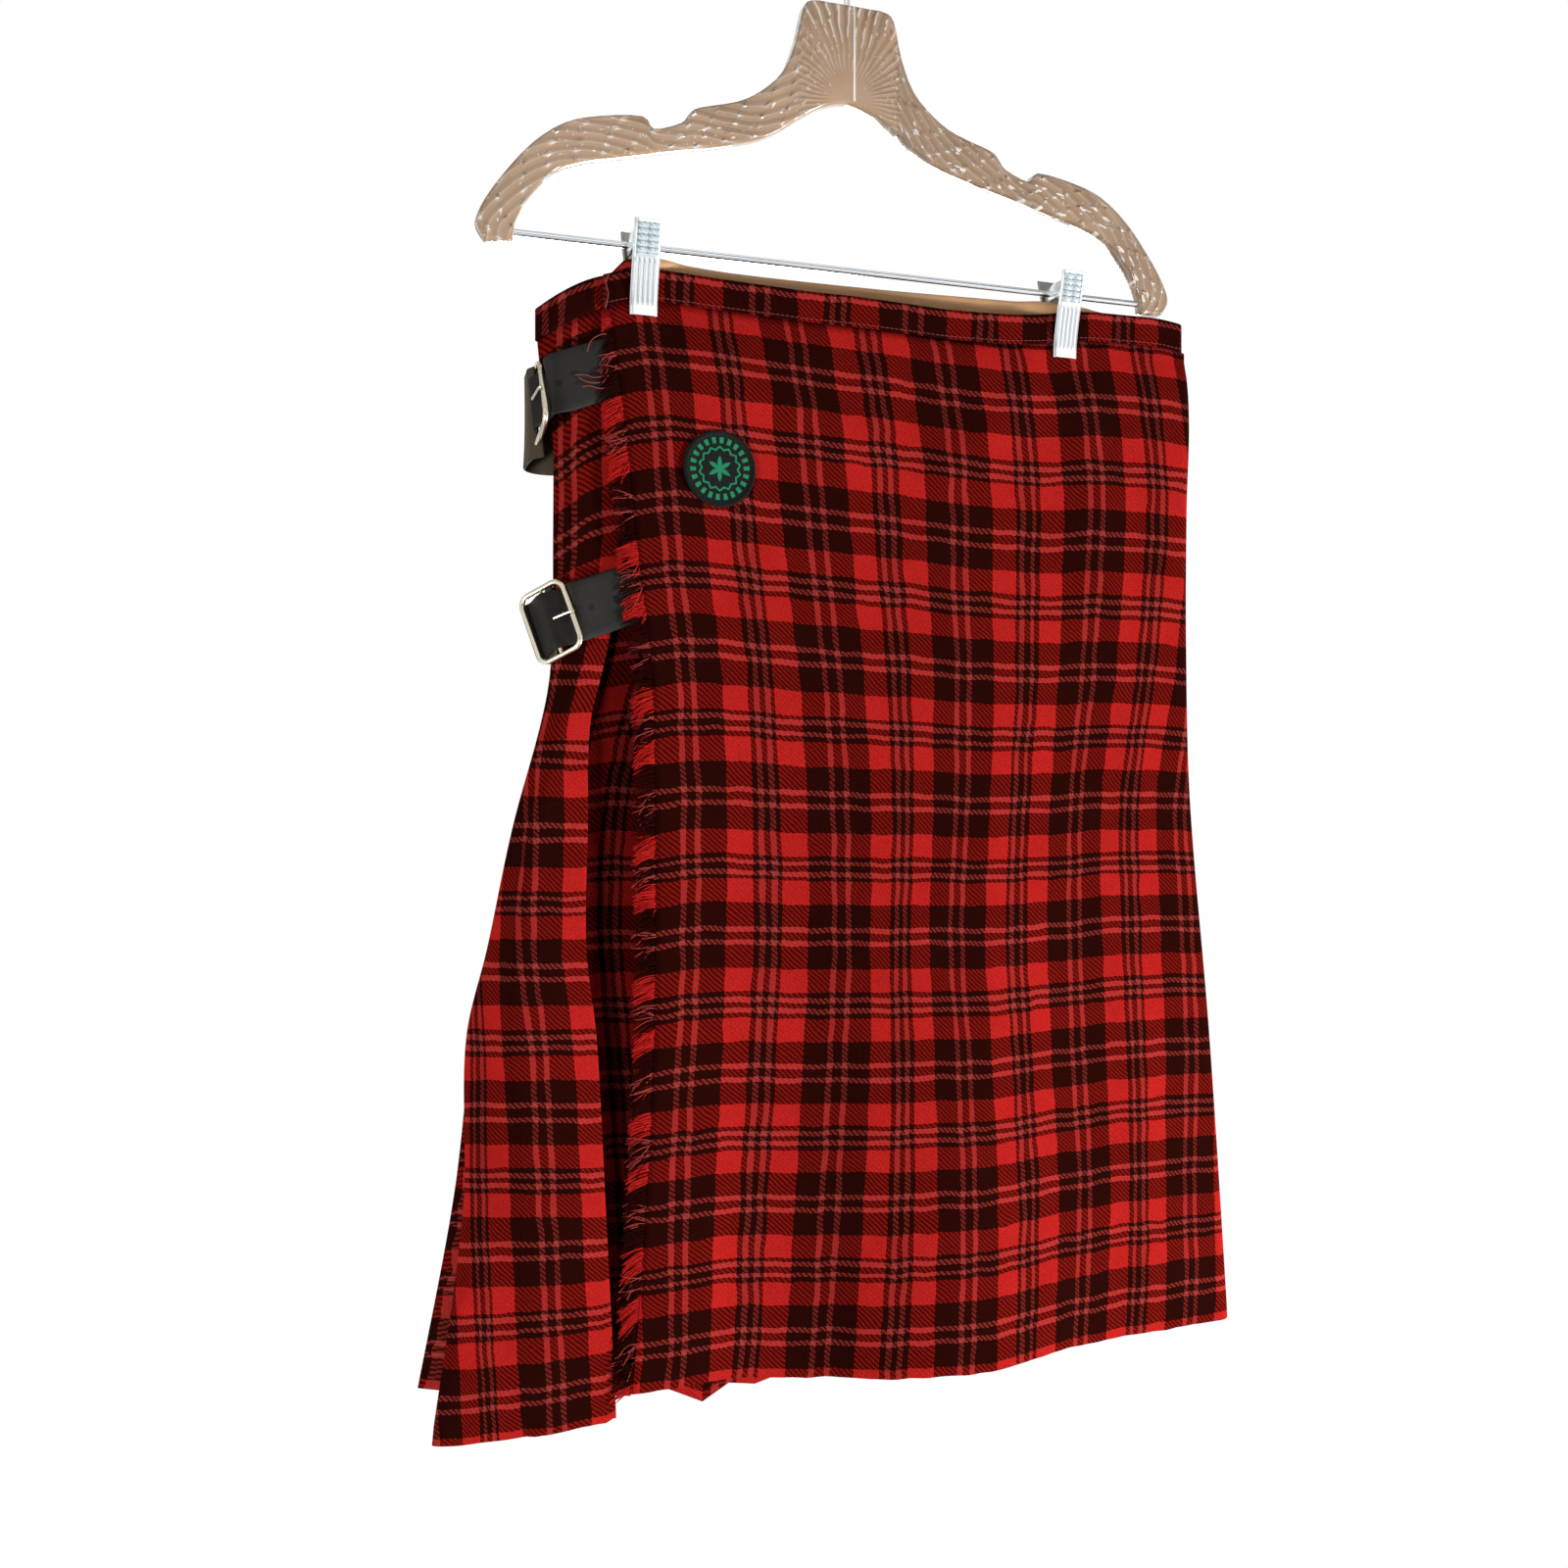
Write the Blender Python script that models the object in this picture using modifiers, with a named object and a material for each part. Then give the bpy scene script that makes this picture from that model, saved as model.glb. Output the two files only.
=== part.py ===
"""Scottish kilt on a clip hanger.

A wrapped tartan kilt hangs by its waistband from two sprung clips on a clear
trouser hanger.  The origin is the saddle of the hanger's hook, where it rests
on a rail.  +X runs along the hanger to the left side of a person who faces
-Y, -Y is the front of the kilt and +Z is up.  Lengths are in metres; the
tables that carry the unit mm in their comment are in millimetres.
"""
import math
from collections import namedtuple

import bmesh
import bpy
from mathutils import Vector

# ---- driving dimensions -------------------------------------------------
MM = 0.001
GAP = 0.0003                # clearance between neighbouring pieces
CLOTH_WALL = 0.0012         # wall of the aprons
PLEAT_WALL = 0.0010         # wall of the pleated cloth
BAND_WALL = 0.0020          # waistband, two layers
FACING_WALL = 0.0008        # tape inside the back waistband
KILT_SHIFT_X = 0.002        # the kilt hangs this far off the hanger's middle

BAND_HEIGHT = 0.0185
BAND_TURN_RADIUS = 0.0040   # the front band's turn round the left hip
FRONT_BAND_Y = -0.0032
BAND_LAP = 0.024            # its run on to the back, past that turn
BAND_END_X = -0.1375        # where the back band's drooping end begins
FACING_SPAN = (-0.135, 0.198)
FACING_DROP = 0.0008        # the facing lies this far below the band's top
FACING_DEEPEST_Y = 0.012    # leaves out the band's drooping end
HEM_Z = -0.858              # front hem, below the hook's saddle
PLEAT_COUNT = 15            # knife pleats across the back
BACK_SEAM_PLEAT = 8         # the back's two pieces meet inside this pleat
PLEAT_DEPTH_SHARE = 0.55    # hidden depth of a pleat over its visible width
FRONT_COLUMNS = 20
UNDER_APRON_COLUMNS = 14
UNDER_APRON_END_X = 0.165   # hidden edge of the under apron, between the layers
ROW_SHARES = (0, 0.03, 0.08, 0.15, 0.25, 0.36, 0.47, 0.58, 0.69, 0.80, 0.90, 1)

FRINGE_STRANDS = 76
FRINGE_LENGTH = 0.0125
FRINGE_ROOT_WIDTH = 0.0016

STRAP_WIDTH = 0.0315
STRAP_WALL = 0.0020
TAB_WIDTH = 0.026
TAB_WALL = 0.0016
TAB_REACH_X = -0.147        # where the tabs end on the pleated back
BUCKLE_HEIGHT = 0.043
BUCKLE_LENGTH = 0.029
BUCKLE_WIRE = 0.0032
CENTRE_BAR_WIRE = 0.0022
TONGUE_WIRE = 0.0020
PATCH_RADIUS = 0.0219
PATCH_WALL = 0.0014
PATCH_CENTRE = (-0.0834, -0.336)

HANGER_THICKNESS = 0.0085
HOOK_WIRE_RADIUS = 0.0017
HOOK_RADIUS = 0.019
HOOK_SHANK_DEPTH = 0.014    # how far the shank goes into the block
BAR_RADIUS = 0.0019
BAR_Z = -0.2125
BAR_REACH = 0.207           # half length of the clip bar
SOCKET_CLEARANCE = 0.0004

CLIP_X = (-0.1274, 0.1415)    # kilt's own X
CLIP_WIDTH = 0.0165
CLIP_WALL = 0.0012
SPRING_RADIUS = 0.0034
SPRING_LENGTH = 0.0096

# ---- tables -------------------------------------------------------------
Edge = namedtuple("Edge", "z x")
Fold = namedtuple("Fold", "x y")
Top = namedtuple("Top", "x z")
Side = namedtuple("Side", "z fold_x fold_y ridge_x ridge_y valley_x valley_y "
                          "turn_x turn_y inner_x inner_y first_x first_y under_gap deep_x")

# free edge and folded edge of the over apron, from the waist down
FREE_EDGE = [Edge(-0.228, -0.1500), Edge(-0.300, -0.1395), Edge(-0.386, -0.1305),
             Edge(-0.461, -0.1220), Edge(-0.655, -0.1215), Edge(-0.760, -0.1270),
             Edge(-0.858, -0.1350)]
RIGHT_EDGE = [Edge(-0.222, 0.2285), Edge(-0.285, 0.2325), Edge(-0.340, 0.2308),
              Edge(-0.430, 0.2305), Edge(-0.528, 0.2335), Edge(-0.675, 0.2485),
              Edge(-0.858, 0.2640)]
# soft folds of the front at its hem, mm
HEM_FOLDS = [Fold(-135, -9.0), Fold(-110, -8.5), Fold(-82, -5.0), Fold(-55, -6.5),
             Fold(-25, -14.0), Fold(5, -27.0), Fold(35, -36.0), Fold(60, -38.0),
             Fold(85, -34.0), Fold(110, -28.0), Fold(150, -19.0), Fold(186, -14.0),
             Fold(223, -10.0), Fold(264, -5.0)]
# top edge of the front and of the back waistband
FRONT_TOP = [Top(-0.150, -0.2310), Top(-0.138, -0.2275), Top(-0.125, -0.2252),
             Top(-0.080, -0.2265), Top(-0.034, -0.2279), Top(0.020, -0.2285),
             Top(0.060, -0.2297), Top(0.100, -0.2288), Top(0.123, -0.2269),
             Top(0.154, -0.2222), Top(0.190, -0.2211), Top(0.212, -0.2213),
             Top(0.229, -0.2234)]
BACK_TOP = [Top(-0.185, -0.2500), Top(-0.178, -0.2455), Top(-0.165, -0.2365),
            Top(-0.145, -0.2240), Top(-0.125, -0.2182), Top(-0.070, -0.2191),
            Top(0.025, -0.2184), Top(0.128, -0.2172), Top(0.165, -0.2184),
            Top(0.229, -0.2234)]
# top edge of the band's drooping end, on the front
LEFT_TOP = [Top(-0.185, -0.2505), Top(-0.175, -0.2435), Top(-0.162, -0.2360),
            Top(-0.150, -0.2312), Top(-0.137, -0.2285)]
# height of the front's hem and, for each pleat of the back, of the hem at its
# fold and where it runs under the next pleat
FRONT_HEM = [Top(-0.150, -0.8555), Top(-0.090, -0.8560), Top(-0.050, -0.8580),
             Top(0.050, -0.8595), Top(0.150, -0.8585), Top(0.220, -0.8600),
             Top(0.264, -0.8620)]
Hem = namedtuple("Hem", "fold_z under_z")
PLEAT_HEM = [Hem(-0.858, -0.862), Hem(-0.862, -0.864), Hem(-0.862, -0.864),
             Hem(-0.861, -0.864), Hem(-0.861, -0.872), Hem(-0.861, -0.871),
             Hem(-0.865, -0.864), Hem(-0.862, -0.864), Hem(-0.861, -0.863),
             Hem(-0.860, -0.862), Hem(-0.859, -0.861), Hem(-0.858, -0.860),
             Hem(-0.858, -0.859), Hem(-0.857, -0.858), Hem(-0.857, -0.858)]
# the wide pleat at the side, one row for each height, mm
SIDE = [
    Side(-262, -137, 0.4, -160, -0.6, -175, 1.0, -183.5, 9, -167, 12, -179, 19, 1.6, -163),
    Side(-283, -137, 0.4, -159, -0.6, -170, 1.0, -177.5, 9, -162, 12, -175, 18.5, 1.6, -161),
    Side(-313, -137, 0.4, -158, -0.6, -168, 1.5, -176, 9, -160, 12, -173, 18, 1.6, -160),
    Side(-390, -138, 0.2, -157, -0.8, -167, 1.8, -175, 9, -160, 12, -173, 18, 1.6, -159),
    Side(-450, -150, -0.6, -162, -1.4, -168.5, 1.6, -174.5, 9, -160, 13, -173, 19, 2.2, -163),
    Side(-482, -157.8, -1.4, -173, -2.6, -178, 1.0, -182, 9, -165, 14, -178, 20, 3.0, -172.5),
    Side(-540, -159.4, -3.0, -186, -4.4, -192, 3.0, -197, 13, -178, 17, -193, 25, 4.2, -184),
    Side(-606, -160.6, -4.4, -196, -5.6, -204, 5.0, -210, 18, -189, 21, -205, 30, 5.0, -187),
    Side(-658, -154.8, -5.2, -198, -6.0, -210, 6.0, -222, 20, -197, 24, -215, 35, 5.0, -183),
    Side(-750, -150, -6.0, -185, -7.5, -206, 0.0, -230, 11, -203, 22, -225, 40, 5.0, -177),
    Side(-871, -144, -7.0, -180, -8.5, -205, -4.0, -243, 3, -212, 22, -246, 50, 5.0, -171),
]
# outline of one half of the hanger's moulding, from the middle of its top, mm
HANGER_HALF = [(0, -57), (22, -57.5), (28.5, -62), (33.5, -83), (41.5, -102),
               (55, -115.3), (69.5, -123.6), (92, -130.2), (98, -134.5),
               (103, -140.5), (119, -146), (125.5, -139.8), (150, -143),
               (170, -149.5), (188, -163), (204, -182), (214, -197), (218, -206),
               (218, -212), (214, -218.5), (199, -218.5), (197.5, -208),
               (190.5, -194), (175, -176.5), (157, -168.8), (133, -162.8),
               (106, -156), (73, -149), (50, -140.5), (32, -128.3), (17, -119),
               (0, -114.3)]


# ---- helpers ------------------------------------------------------------
def clear_scene():
    for obj in list(bpy.data.objects):
        bpy.data.objects.remove(obj, do_unlink=True)


def new_collection(name):
    collection = bpy.data.collections.new(name)
    bpy.context.scene.collection.children.link(collection)
    return collection


def material(name, colour, roughness, metallic=0.0):
    mat = bpy.data.materials.new(name)
    mat.use_nodes = True
    shader = mat.node_tree.nodes["Principled BSDF"]
    shader.inputs["Base Color"].default_value = (*colour, 1.0)
    shader.inputs["Roughness"].default_value = roughness
    shader.inputs["Metallic"].default_value = metallic
    mat.diffuse_color = (*colour, 1.0)
    return mat


def curve_value(keys, values, at):
    """Smooth value at a key, through all the table's points."""
    if keys[0] > keys[-1]:
        keys = keys[::-1]
        values = values[::-1]
    if at <= keys[0]:
        return values[0]
    if at >= keys[-1]:
        return values[-1]
    i = max(k for k in range(len(keys) - 1) if keys[k] <= at)
    slopes = []
    for k in (i, i + 1):
        lo = max(k - 1, 0)
        hi = min(k + 1, len(keys) - 1)
        slopes.append((values[hi] - values[lo]) / (keys[hi] - keys[lo]))
    span = keys[i + 1] - keys[i]
    t = (at - keys[i]) / span
    a = values[i] * (1 + 2 * t) * (1 - t) ** 2
    b = slopes[0] * span * t * (1 - t) ** 2
    c = values[i + 1] * t * t * (3 - 2 * t)
    d = slopes[1] * span * t * t * (t - 1)
    return a + b + c + d


def column(table, field):
    return [getattr(row, field) for row in table]


def table_value(table, key, field, at):
    return curve_value(column(table, key), column(table, field), at)


def side_value(field, z):
    """Value of the side pleat's table at a height in metres."""
    return table_value(SIDE, "z", field, z / MM) * MM


def mix(a, b, t):
    return a + (b - a) * t


def smoothstep(t):
    t = min(max(t, 0.0), 1.0)
    return t * t * (3 - 2 * t)


def soft_path(points, steps):
    """Smooth plan path through points, with steps pieces between each pair."""
    path = []
    count = len(points)
    for i in range(count - 1):
        p0 = points[max(i - 1, 0)]
        p1 = points[i]
        p2 = points[i + 1]
        p3 = points[min(i + 2, count - 1)]
        for k in range(steps):
            t = k / steps
            path.append(tuple(
                0.5 * (2 * p1[n] + (p2[n] - p0[n]) * t
                       + (2 * p0[n] - 5 * p1[n] + 4 * p2[n] - p3[n]) * t * t
                       + (3 * p1[n] - p0[n] - 3 * p2[n] + p3[n]) * t ** 3)
                for n in range(len(p1))))
    path.append(tuple(points[-1]))
    return path


def link(name, mesh, collection, mat):
    obj = bpy.data.objects.new(name, mesh)
    collection.objects.link(obj)
    obj.data.materials.append(mat)
    return obj


def sheet_mesh(name, rows):
    """Open grid through rows of points, all rows of one length."""
    bm = bmesh.new()
    wide = len(rows[0]) - 1
    tall = len(rows) - 1
    bmesh.ops.create_grid(bm, x_segments=wide, y_segments=tall, size=0.5)
    bm.verts.ensure_lookup_table()
    for vert in bm.verts:
        i = round((vert.co.x + 0.5) * wide)
        j = round((vert.co.y + 0.5) * tall)
        vert.co = rows[j][i]
    mesh = bpy.data.meshes.new(name)
    bm.to_mesh(mesh)
    bm.free()
    return mesh


def sheet(name, rows, wall, collection, mat, shift=KILT_SHIFT_X):
    """Cloth or leather of one wall thickness on a grid of points."""
    moved = [[Vector((p[0] + shift, p[1], p[2])) for p in row] for row in rows]
    obj = link(name, sheet_mesh(name, moved), collection, mat)
    obj.data.shade_smooth()
    solid = obj.modifiers.new("Wall", "SOLIDIFY")
    solid.thickness = wall
    solid.offset = 0
    solid.use_even_offset = True
    return obj


# ---- the front ----------------------------------------------------------
def front_top(x):
    return table_value(FRONT_TOP, "x", "z", x)


def back_top(x):
    return table_value(BACK_TOP, "x", "z", x)


def drop_share(z):
    """0 just under the waistband, 1 at the hem."""
    top = FRONT_TOP[0].z - BAND_HEIGHT
    return min(max((top - z) / (top - HEM_Z), 0.0), 1.0)


def clip_pinch(x):
    """1 where a clip holds the waist, 0 away from both."""
    near = min(abs(x - c) for c in CLIP_X)
    return 1 - smoothstep((near - CLIP_WIDTH * 0.55) / 0.022)


def front_y(x, z):
    """Middle of the over apron's wall."""
    share = drop_share(z)
    at_waist = -0.0034
    held = clip_pinch(x) * (1 - smoothstep((-0.264 - z) / 0.020))
    fuller = -0.0024 * smoothstep(share / 0.02) * (1 - held)
    hem_y = table_value(HEM_FOLDS, "x", "y", x / MM) * MM
    return at_waist + fuller + (hem_y - at_waist - fuller) * share ** 1.6


def wrap_radius(z):
    return mix(0.0048, 0.0110, drop_share(z) ** 1.3)


def back_y(x, z):
    """Outer layer of the pleated back, middle of the wall."""
    share = drop_share(z)
    plain = mix(0.0056, 0.0210, share ** 1.2)
    bow = 0.004 * math.sin(math.pi * min(max((x + 0.13) / 0.27, 0.0), 1.0))
    first_x = side_value("first_x", z)
    first_y = side_value("first_y", z)
    width = mix(0.085, 0.105, share)
    ease = 1 - smoothstep((x - first_x) / width)
    right_x = table_value(RIGHT_EDGE, "z", "x", z)
    front = front_y(right_x, z)
    right_ease = smoothstep((x - right_x + 0.10) / 0.08)
    base = plain + bow * (1 - share)
    base = mix(base, front + 2 * wrap_radius(z), right_ease)
    return mix(base, first_y, ease)


def pleat_gap(z):
    """Distance between two layers of a pleat."""
    return mix(0.00135, 0.0026, drop_share(z))


def pleat_edges(z):
    """X of the back pleats' folds, the last one being the over apron's."""
    start = side_value("first_x", z)
    stop = table_value(RIGHT_EDGE, "z", "x", z) - 0.032
    return [mix(start, stop, i / PLEAT_COUNT) for i in range(PLEAT_COUNT + 1)]


def pleat_depth(z):
    edges = pleat_edges(z)
    return PLEAT_DEPTH_SHARE * (edges[1] - edges[0])


def over_apron_plan(z):
    """Plan points from the free edge, round the right side to its last fold."""
    left = table_value(FREE_EDGE, "z", "x", z)
    right = table_value(RIGHT_EDGE, "z", "x", z)
    radius = wrap_radius(z)
    bend = right - radius
    points = []
    for i in range(FRONT_COLUMNS + 1):
        x = mix(left, bend, i / FRONT_COLUMNS)
        points.append((x, front_y(x, z)))
    middle = front_y(bend, z) + radius
    for angle in (-60, -30, 0, 30, 60):
        turn = math.radians(angle)
        points.append((bend + radius * math.cos(turn),
                       middle + radius * math.sin(turn)))
    fold = pleat_edges(z)[-1]
    gap = pleat_gap(z)
    apart = max(gap, CLOTH_WALL + 0.0004)
    lift = 2 * (apart - gap)
    for x in (bend, mix(bend, fold, 0.5), fold):
        points.append((x, back_y(x, z) + lift))
    points.append((fold, back_y(fold, z) - 2 * gap + apart))
    inner = fold + pleat_depth(z)
    points.append((inner, back_y(inner, z) - 4 * gap + apart))
    return points


def plan_rows(plan, tops, bottoms):
    """Rows of 3-D points: the plan at each height, from tops to bottoms.

    tops and bottoms give a column's own height from its plan point, so a hem
    or a waist can run uneven while each column stays on the plan's form.
    """
    first = plan(tops(None))
    columns = len(first)
    rows = []
    for t in ROW_SHARES:
        row = []
        for i in range(columns):
            high = tops(first[i])
            low = bottoms(first[i])
            z = mix(high, low, t)
            x, y = plan(z)[i]
            row.append((x, y, z))
        rows.append(row)
    return rows


def over_apron_rows():
    def tops(point):
        if point is None:
            return FRONT_TOP[5].z - BAND_HEIGHT - GAP
        x, y = point
        seam = front_top(x) if y < 0.001 else mix(front_top(x), back_top(x), 0.5)
        return seam - BAND_HEIGHT - 2 * GAP

    def bottoms(point):
        x, y = point
        return table_value(FRONT_HEM, "x", "z", x) if y < 0.001 else FRONT_HEM[-1].z

    return plan_rows(over_apron_plan, tops, bottoms)


def build_over_apron(collection, mat):
    sheet("over_apron", over_apron_rows(), CLOTH_WALL, collection, mat)


def point_at_height(line, z):
    """Point at a height on a line of points that runs downward."""
    for above, below in zip(line, line[1:]):
        if z >= below[2]:
            break
    t = (z - above[2]) / (below[2] - above[2])
    return mix(above[0], below[0], t), mix(above[1], below[1], t)


# ---- fringe -------------------------------------------------------------
def build_fringe(collection, mat):
    """Strip along the free edge with strands drawn out of its outer side."""
    free_edge = [row[0] for row in over_apron_rows()]
    top = free_edge[0][2] - 0.004
    bottom = free_edge[-1][2] + 0.002
    half = CLOTH_WALL * 0.45
    bm = bmesh.new()
    bmesh.ops.create_cube(bm, size=1.0)
    ends = [e for e in bm.edges if abs(e.verts[0].co.z - e.verts[1].co.z) > 0.5]
    bmesh.ops.subdivide_edges(bm, edges=ends, cuts=FRINGE_STRANDS - 1)
    for vert in bm.verts:
        z = mix(top, bottom, 0.5 - vert.co.z)
        edge_x, edge_y = point_at_height(free_edge, z)
        x = edge_x - 1.5 * GAP - FRINGE_ROOT_WIDTH * (0.5 - vert.co.x)
        vert.co = (x, edge_y + vert.co.y * 2 * half, z)
    bm.normal_update()
    outer = [f for f in bm.faces if f.normal.x < -0.7]
    outer.sort(key=lambda f: -f.calc_center_median().z)
    for index, face in enumerate(outer):
        draw_strand(bm, face, index)
    for vert in bm.verts:
        vert.co.x += KILT_SHIFT_X
    bmesh.ops.recalc_face_normals(bm, faces=bm.faces)
    mesh = bpy.data.meshes.new("apron_fringe")
    bm.to_mesh(mesh)
    bm.free()
    link("apron_fringe", mesh, collection, mat)


def draw_strand(bm, face, index):
    """One strand: two lengths with a droop that changes slowly down the edge."""
    droop = 0.35 + 0.30 * math.sin(index * 0.9) * math.cos(index * 0.23)
    length = FRINGE_LENGTH * (1 + 0.12 * math.sin(index * 1.7))
    forward = -0.0006 - 0.0004 * math.cos(index * 1.1)
    steps = ((0.45, 0.45), (0.55, 0.75))
    for share, narrow in steps:
        drawn = bmesh.ops.extrude_discrete_faces(bm, faces=[face])
        face = drawn["faces"][0]
        centre = face.calc_center_median()
        move = Vector((-length * share, forward, -length * share * droop))
        for vert in face.verts:
            vert.co = centre + (vert.co - centre) * narrow + move
        droop += 0.25


# ---- side pleat and under apron ----------------------------------------
def side_face(z):
    """Fold, ridge, valley and left turn of the wide side pleat."""
    names = ("fold", "ridge", "valley", "turn")
    return [(side_value(n + "_x", z), side_value(n + "_y", z)) for n in names]


def side_pleat_plan(z):
    """From the deep fold, out to the visible fold and round the left side."""
    fold, ridge, valley, turn = side_face(z)
    gap = side_value("under_gap", z)
    inner = (side_value("inner_x", z), side_value("inner_y", z))
    deep_x = side_value("deep_x", z)
    points = [(deep_x + 0.002, fold[1] + 2 * gap), (deep_x, fold[1] + 1.9 * gap),
              (deep_x, fold[1] + 1.1 * gap),
              (fold[0] - 0.010, fold[1] + gap), (fold[0], fold[1] + 0.9 * gap)]
    soft = soft_path([fold, ridge, valley, turn, inner], 3)
    return points + soft


def band_end_top(x, y):
    """Top edge of the waistband's drooping end, on its front or its back."""
    front = table_value(LEFT_TOP, "x", "z", x)
    return mix(front, back_top(x), smoothstep((y - 0.004) / 0.010))


def side_top(point):
    """Height of the side pleat's top, under the drooping waistband."""
    if point is None:
        return -0.262
    return band_end_top(*point) - BAND_HEIGHT - GAP


def build_side_pleat(collection, mat):
    def bottoms(point):
        x, y = point
        outer = mix(-0.8705, -0.8735, smoothstep((-0.155 - x) / 0.028))
        return mix(outer, -0.862, smoothstep((y - 0.0092) / 0.003))

    rows = plan_rows(side_pleat_plan, side_top, bottoms)
    sheet("side_pleat", rows, PLEAT_WALL, collection, mat)


def under_apron_y(x, z):
    fold = side_face(z)[0]
    near = fold[1] + 2 * side_value("under_gap", z)
    front = front_y(x, z) + mix(0.0018, 0.0095, drop_share(z))
    ease = smoothstep((x - fold[0] - 0.003) / mix(0.024, 0.060, drop_share(z)))
    return mix(near, front, ease)


def under_apron_plan(z):
    left = side_value("deep_x", z) + 0.002 + GAP
    count = UNDER_APRON_COLUMNS
    places = [mix(left, UNDER_APRON_END_X, i / count) for i in range(count + 1)]
    return [(x, under_apron_y(x, z)) for x in places]


def build_under_apron(collection, mat):
    def tops(point):
        if point is None:
            return -0.247
        x = point[0]
        share = smoothstep((x + 0.150) / 0.020)
        return mix(side_top((x, 0.0)), front_top(x) - BAND_HEIGHT - GAP, share)

    def bottoms(point):
        return mix(-0.868, -0.857, smoothstep((point[0] + 0.163) / 0.022))

    rows = plan_rows(under_apron_plan, tops, bottoms)
    sheet("under_apron", rows, PLEAT_WALL, collection, mat)


# ---- pleated back -------------------------------------------------------
def pleat_hems(first, last):
    """Hem height of each plan point that pleat_plan gives."""
    hems = [PLEAT_HEM[first].fold_z] * 2
    for i in range(first, last):
        fold_z, under_z = PLEAT_HEM[i]
        hems += [fold_z, under_z, under_z]
        if i < last - 1:
            hems += [under_z, PLEAT_HEM[i + 1].fold_z]
    return hems


def pleat_plan(z, first, last):
    """Plan of the knife pleats from number first up to number last."""
    edges = pleat_edges(z)
    gap = pleat_gap(z)
    depth = pleat_depth(z)
    points = []
    if first == 0:
        inner_x = side_value("inner_x", z)
        inner_y = side_value("inner_y", z)
        points.append((inner_x + 0.001, inner_y + PLEAT_WALL + GAP))
        points.append((edges[0], back_y(edges[0], z) - gap))
    else:
        hidden = edges[first] + depth
        points.append((hidden - 0.001, back_y(hidden, z) - 3 * gap + GAP))
        points.append((edges[first], back_y(edges[first], z) - gap))
    for i in range(first, last):
        here = edges[i]
        beyond = edges[i + 1]
        points.append((here, back_y(here, z)))
        points.append((beyond, back_y(beyond, z) - 2 * gap))
        hidden = beyond + depth
        points.append((hidden, back_y(hidden, z) - 4 * gap))
        if i < last - 1:
            points.append((hidden, back_y(hidden, z) - 3 * gap))
            points.append((beyond, back_y(beyond, z) - gap))
    return points


def build_back(collection, mat):
    """Two pieces of knife pleats that meet in a hidden fold."""
    splits = (0, BACK_SEAM_PLEAT, PLEAT_COUNT)
    names = ("pleated_back_right_hip", "pleated_back_left_hip")
    for name, first, last in zip(names, splits, splits[1:]):
        def plan(z, first=first, last=last):
            return pleat_plan(z, first, last)

        def tops(point):
            if point is None:
                return -0.262
            return back_top(point[0]) - BAND_HEIGHT - GAP

        hem_of = dict(zip(plan(tops(None)), pleat_hems(first, last)))
        rows = plan_rows(plan, tops, hem_of.get)
        sheet(name, rows, PLEAT_WALL, collection, mat)


# ---- waistband ----------------------------------------------------------
def front_band_path():
    """Waistband over the over apron and round the right end: x, y, top z."""
    path = []
    left = FREE_EDGE[0].x
    right = RIGHT_EDGE[0].x
    radius = BAND_TURN_RADIUS
    bend = right - wrap_radius(FRONT_TOP[0].z)
    for i in range(FRONT_COLUMNS + 1):
        x = mix(left, bend, i / FRONT_COLUMNS)
        path.append((x, FRONT_BAND_Y, front_top(x)))
    for angle in (-45, 0, 45, 90):
        turn = math.radians(angle)
        x = bend + radius * math.cos(turn)
        y = FRONT_BAND_Y + radius + radius * math.sin(turn)
        path.append((x, y, front_top(x)))
    for lap in (BAND_LAP / 2, BAND_LAP):
        path.append((right - lap, FRONT_BAND_Y + 2 * radius + 0.0002,
                     front_top(right - lap)))
    return path


def back_band_y(x):
    free = back_y(x, -0.262) - 0.0006
    return mix(free, 0.0002, clip_pinch(x))


def back_band_path():
    """Waistband of the back, with its drooping end turned round the left."""
    turned = [(-0.1475, -0.0007), (-0.154, -0.0008), (-0.162, -0.0008),
              (-0.173, 0.0004), (-0.1815, 0.0040), (-0.1848, 0.0100),
              (-0.1810, 0.0160), (-0.1700, 0.0162), (-0.1580, 0.0115),
              (-0.1460, 0.0050)]
    plan = soft_path(turned, 2)
    start = BAND_END_X
    stop = RIGHT_EDGE[0].x - BAND_LAP - GAP
    places = [mix(start, stop, i / 9) for i in range(10)]
    for clip in CLIP_X:
        places = [x for x in places if abs(x - clip) > 0.034]
        places += [clip + d for d in (-0.030, -0.020, -0.0095, 0.0095, 0.020, 0.030)
                   if clip + d > start]
    plan += [(x, back_band_y(x)) for x in sorted(places)]
    return [(x, y, band_end_top(x, y) if x < start else back_top(x)) for x, y in plan]


def offset_path(path, distance):
    """Path moved sideways in plan, to the right of its own direction."""
    moved = []
    for i, (x, y, z) in enumerate(path):
        a = path[max(i - 1, 0)]
        b = path[min(i + 1, len(path) - 1)]
        run = Vector((b[0] - a[0], b[1] - a[1])).normalized()
        moved.append((x + run.y * distance, y - run.x * distance, z))
    return moved


def band(name, path, height, wall, collection, mat):
    rows = []
    for j in range(3):
        rows.append([(x, y, z - height * j / 2) for x, y, z in path])
    return sheet(name, rows, wall, collection, mat)


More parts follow.
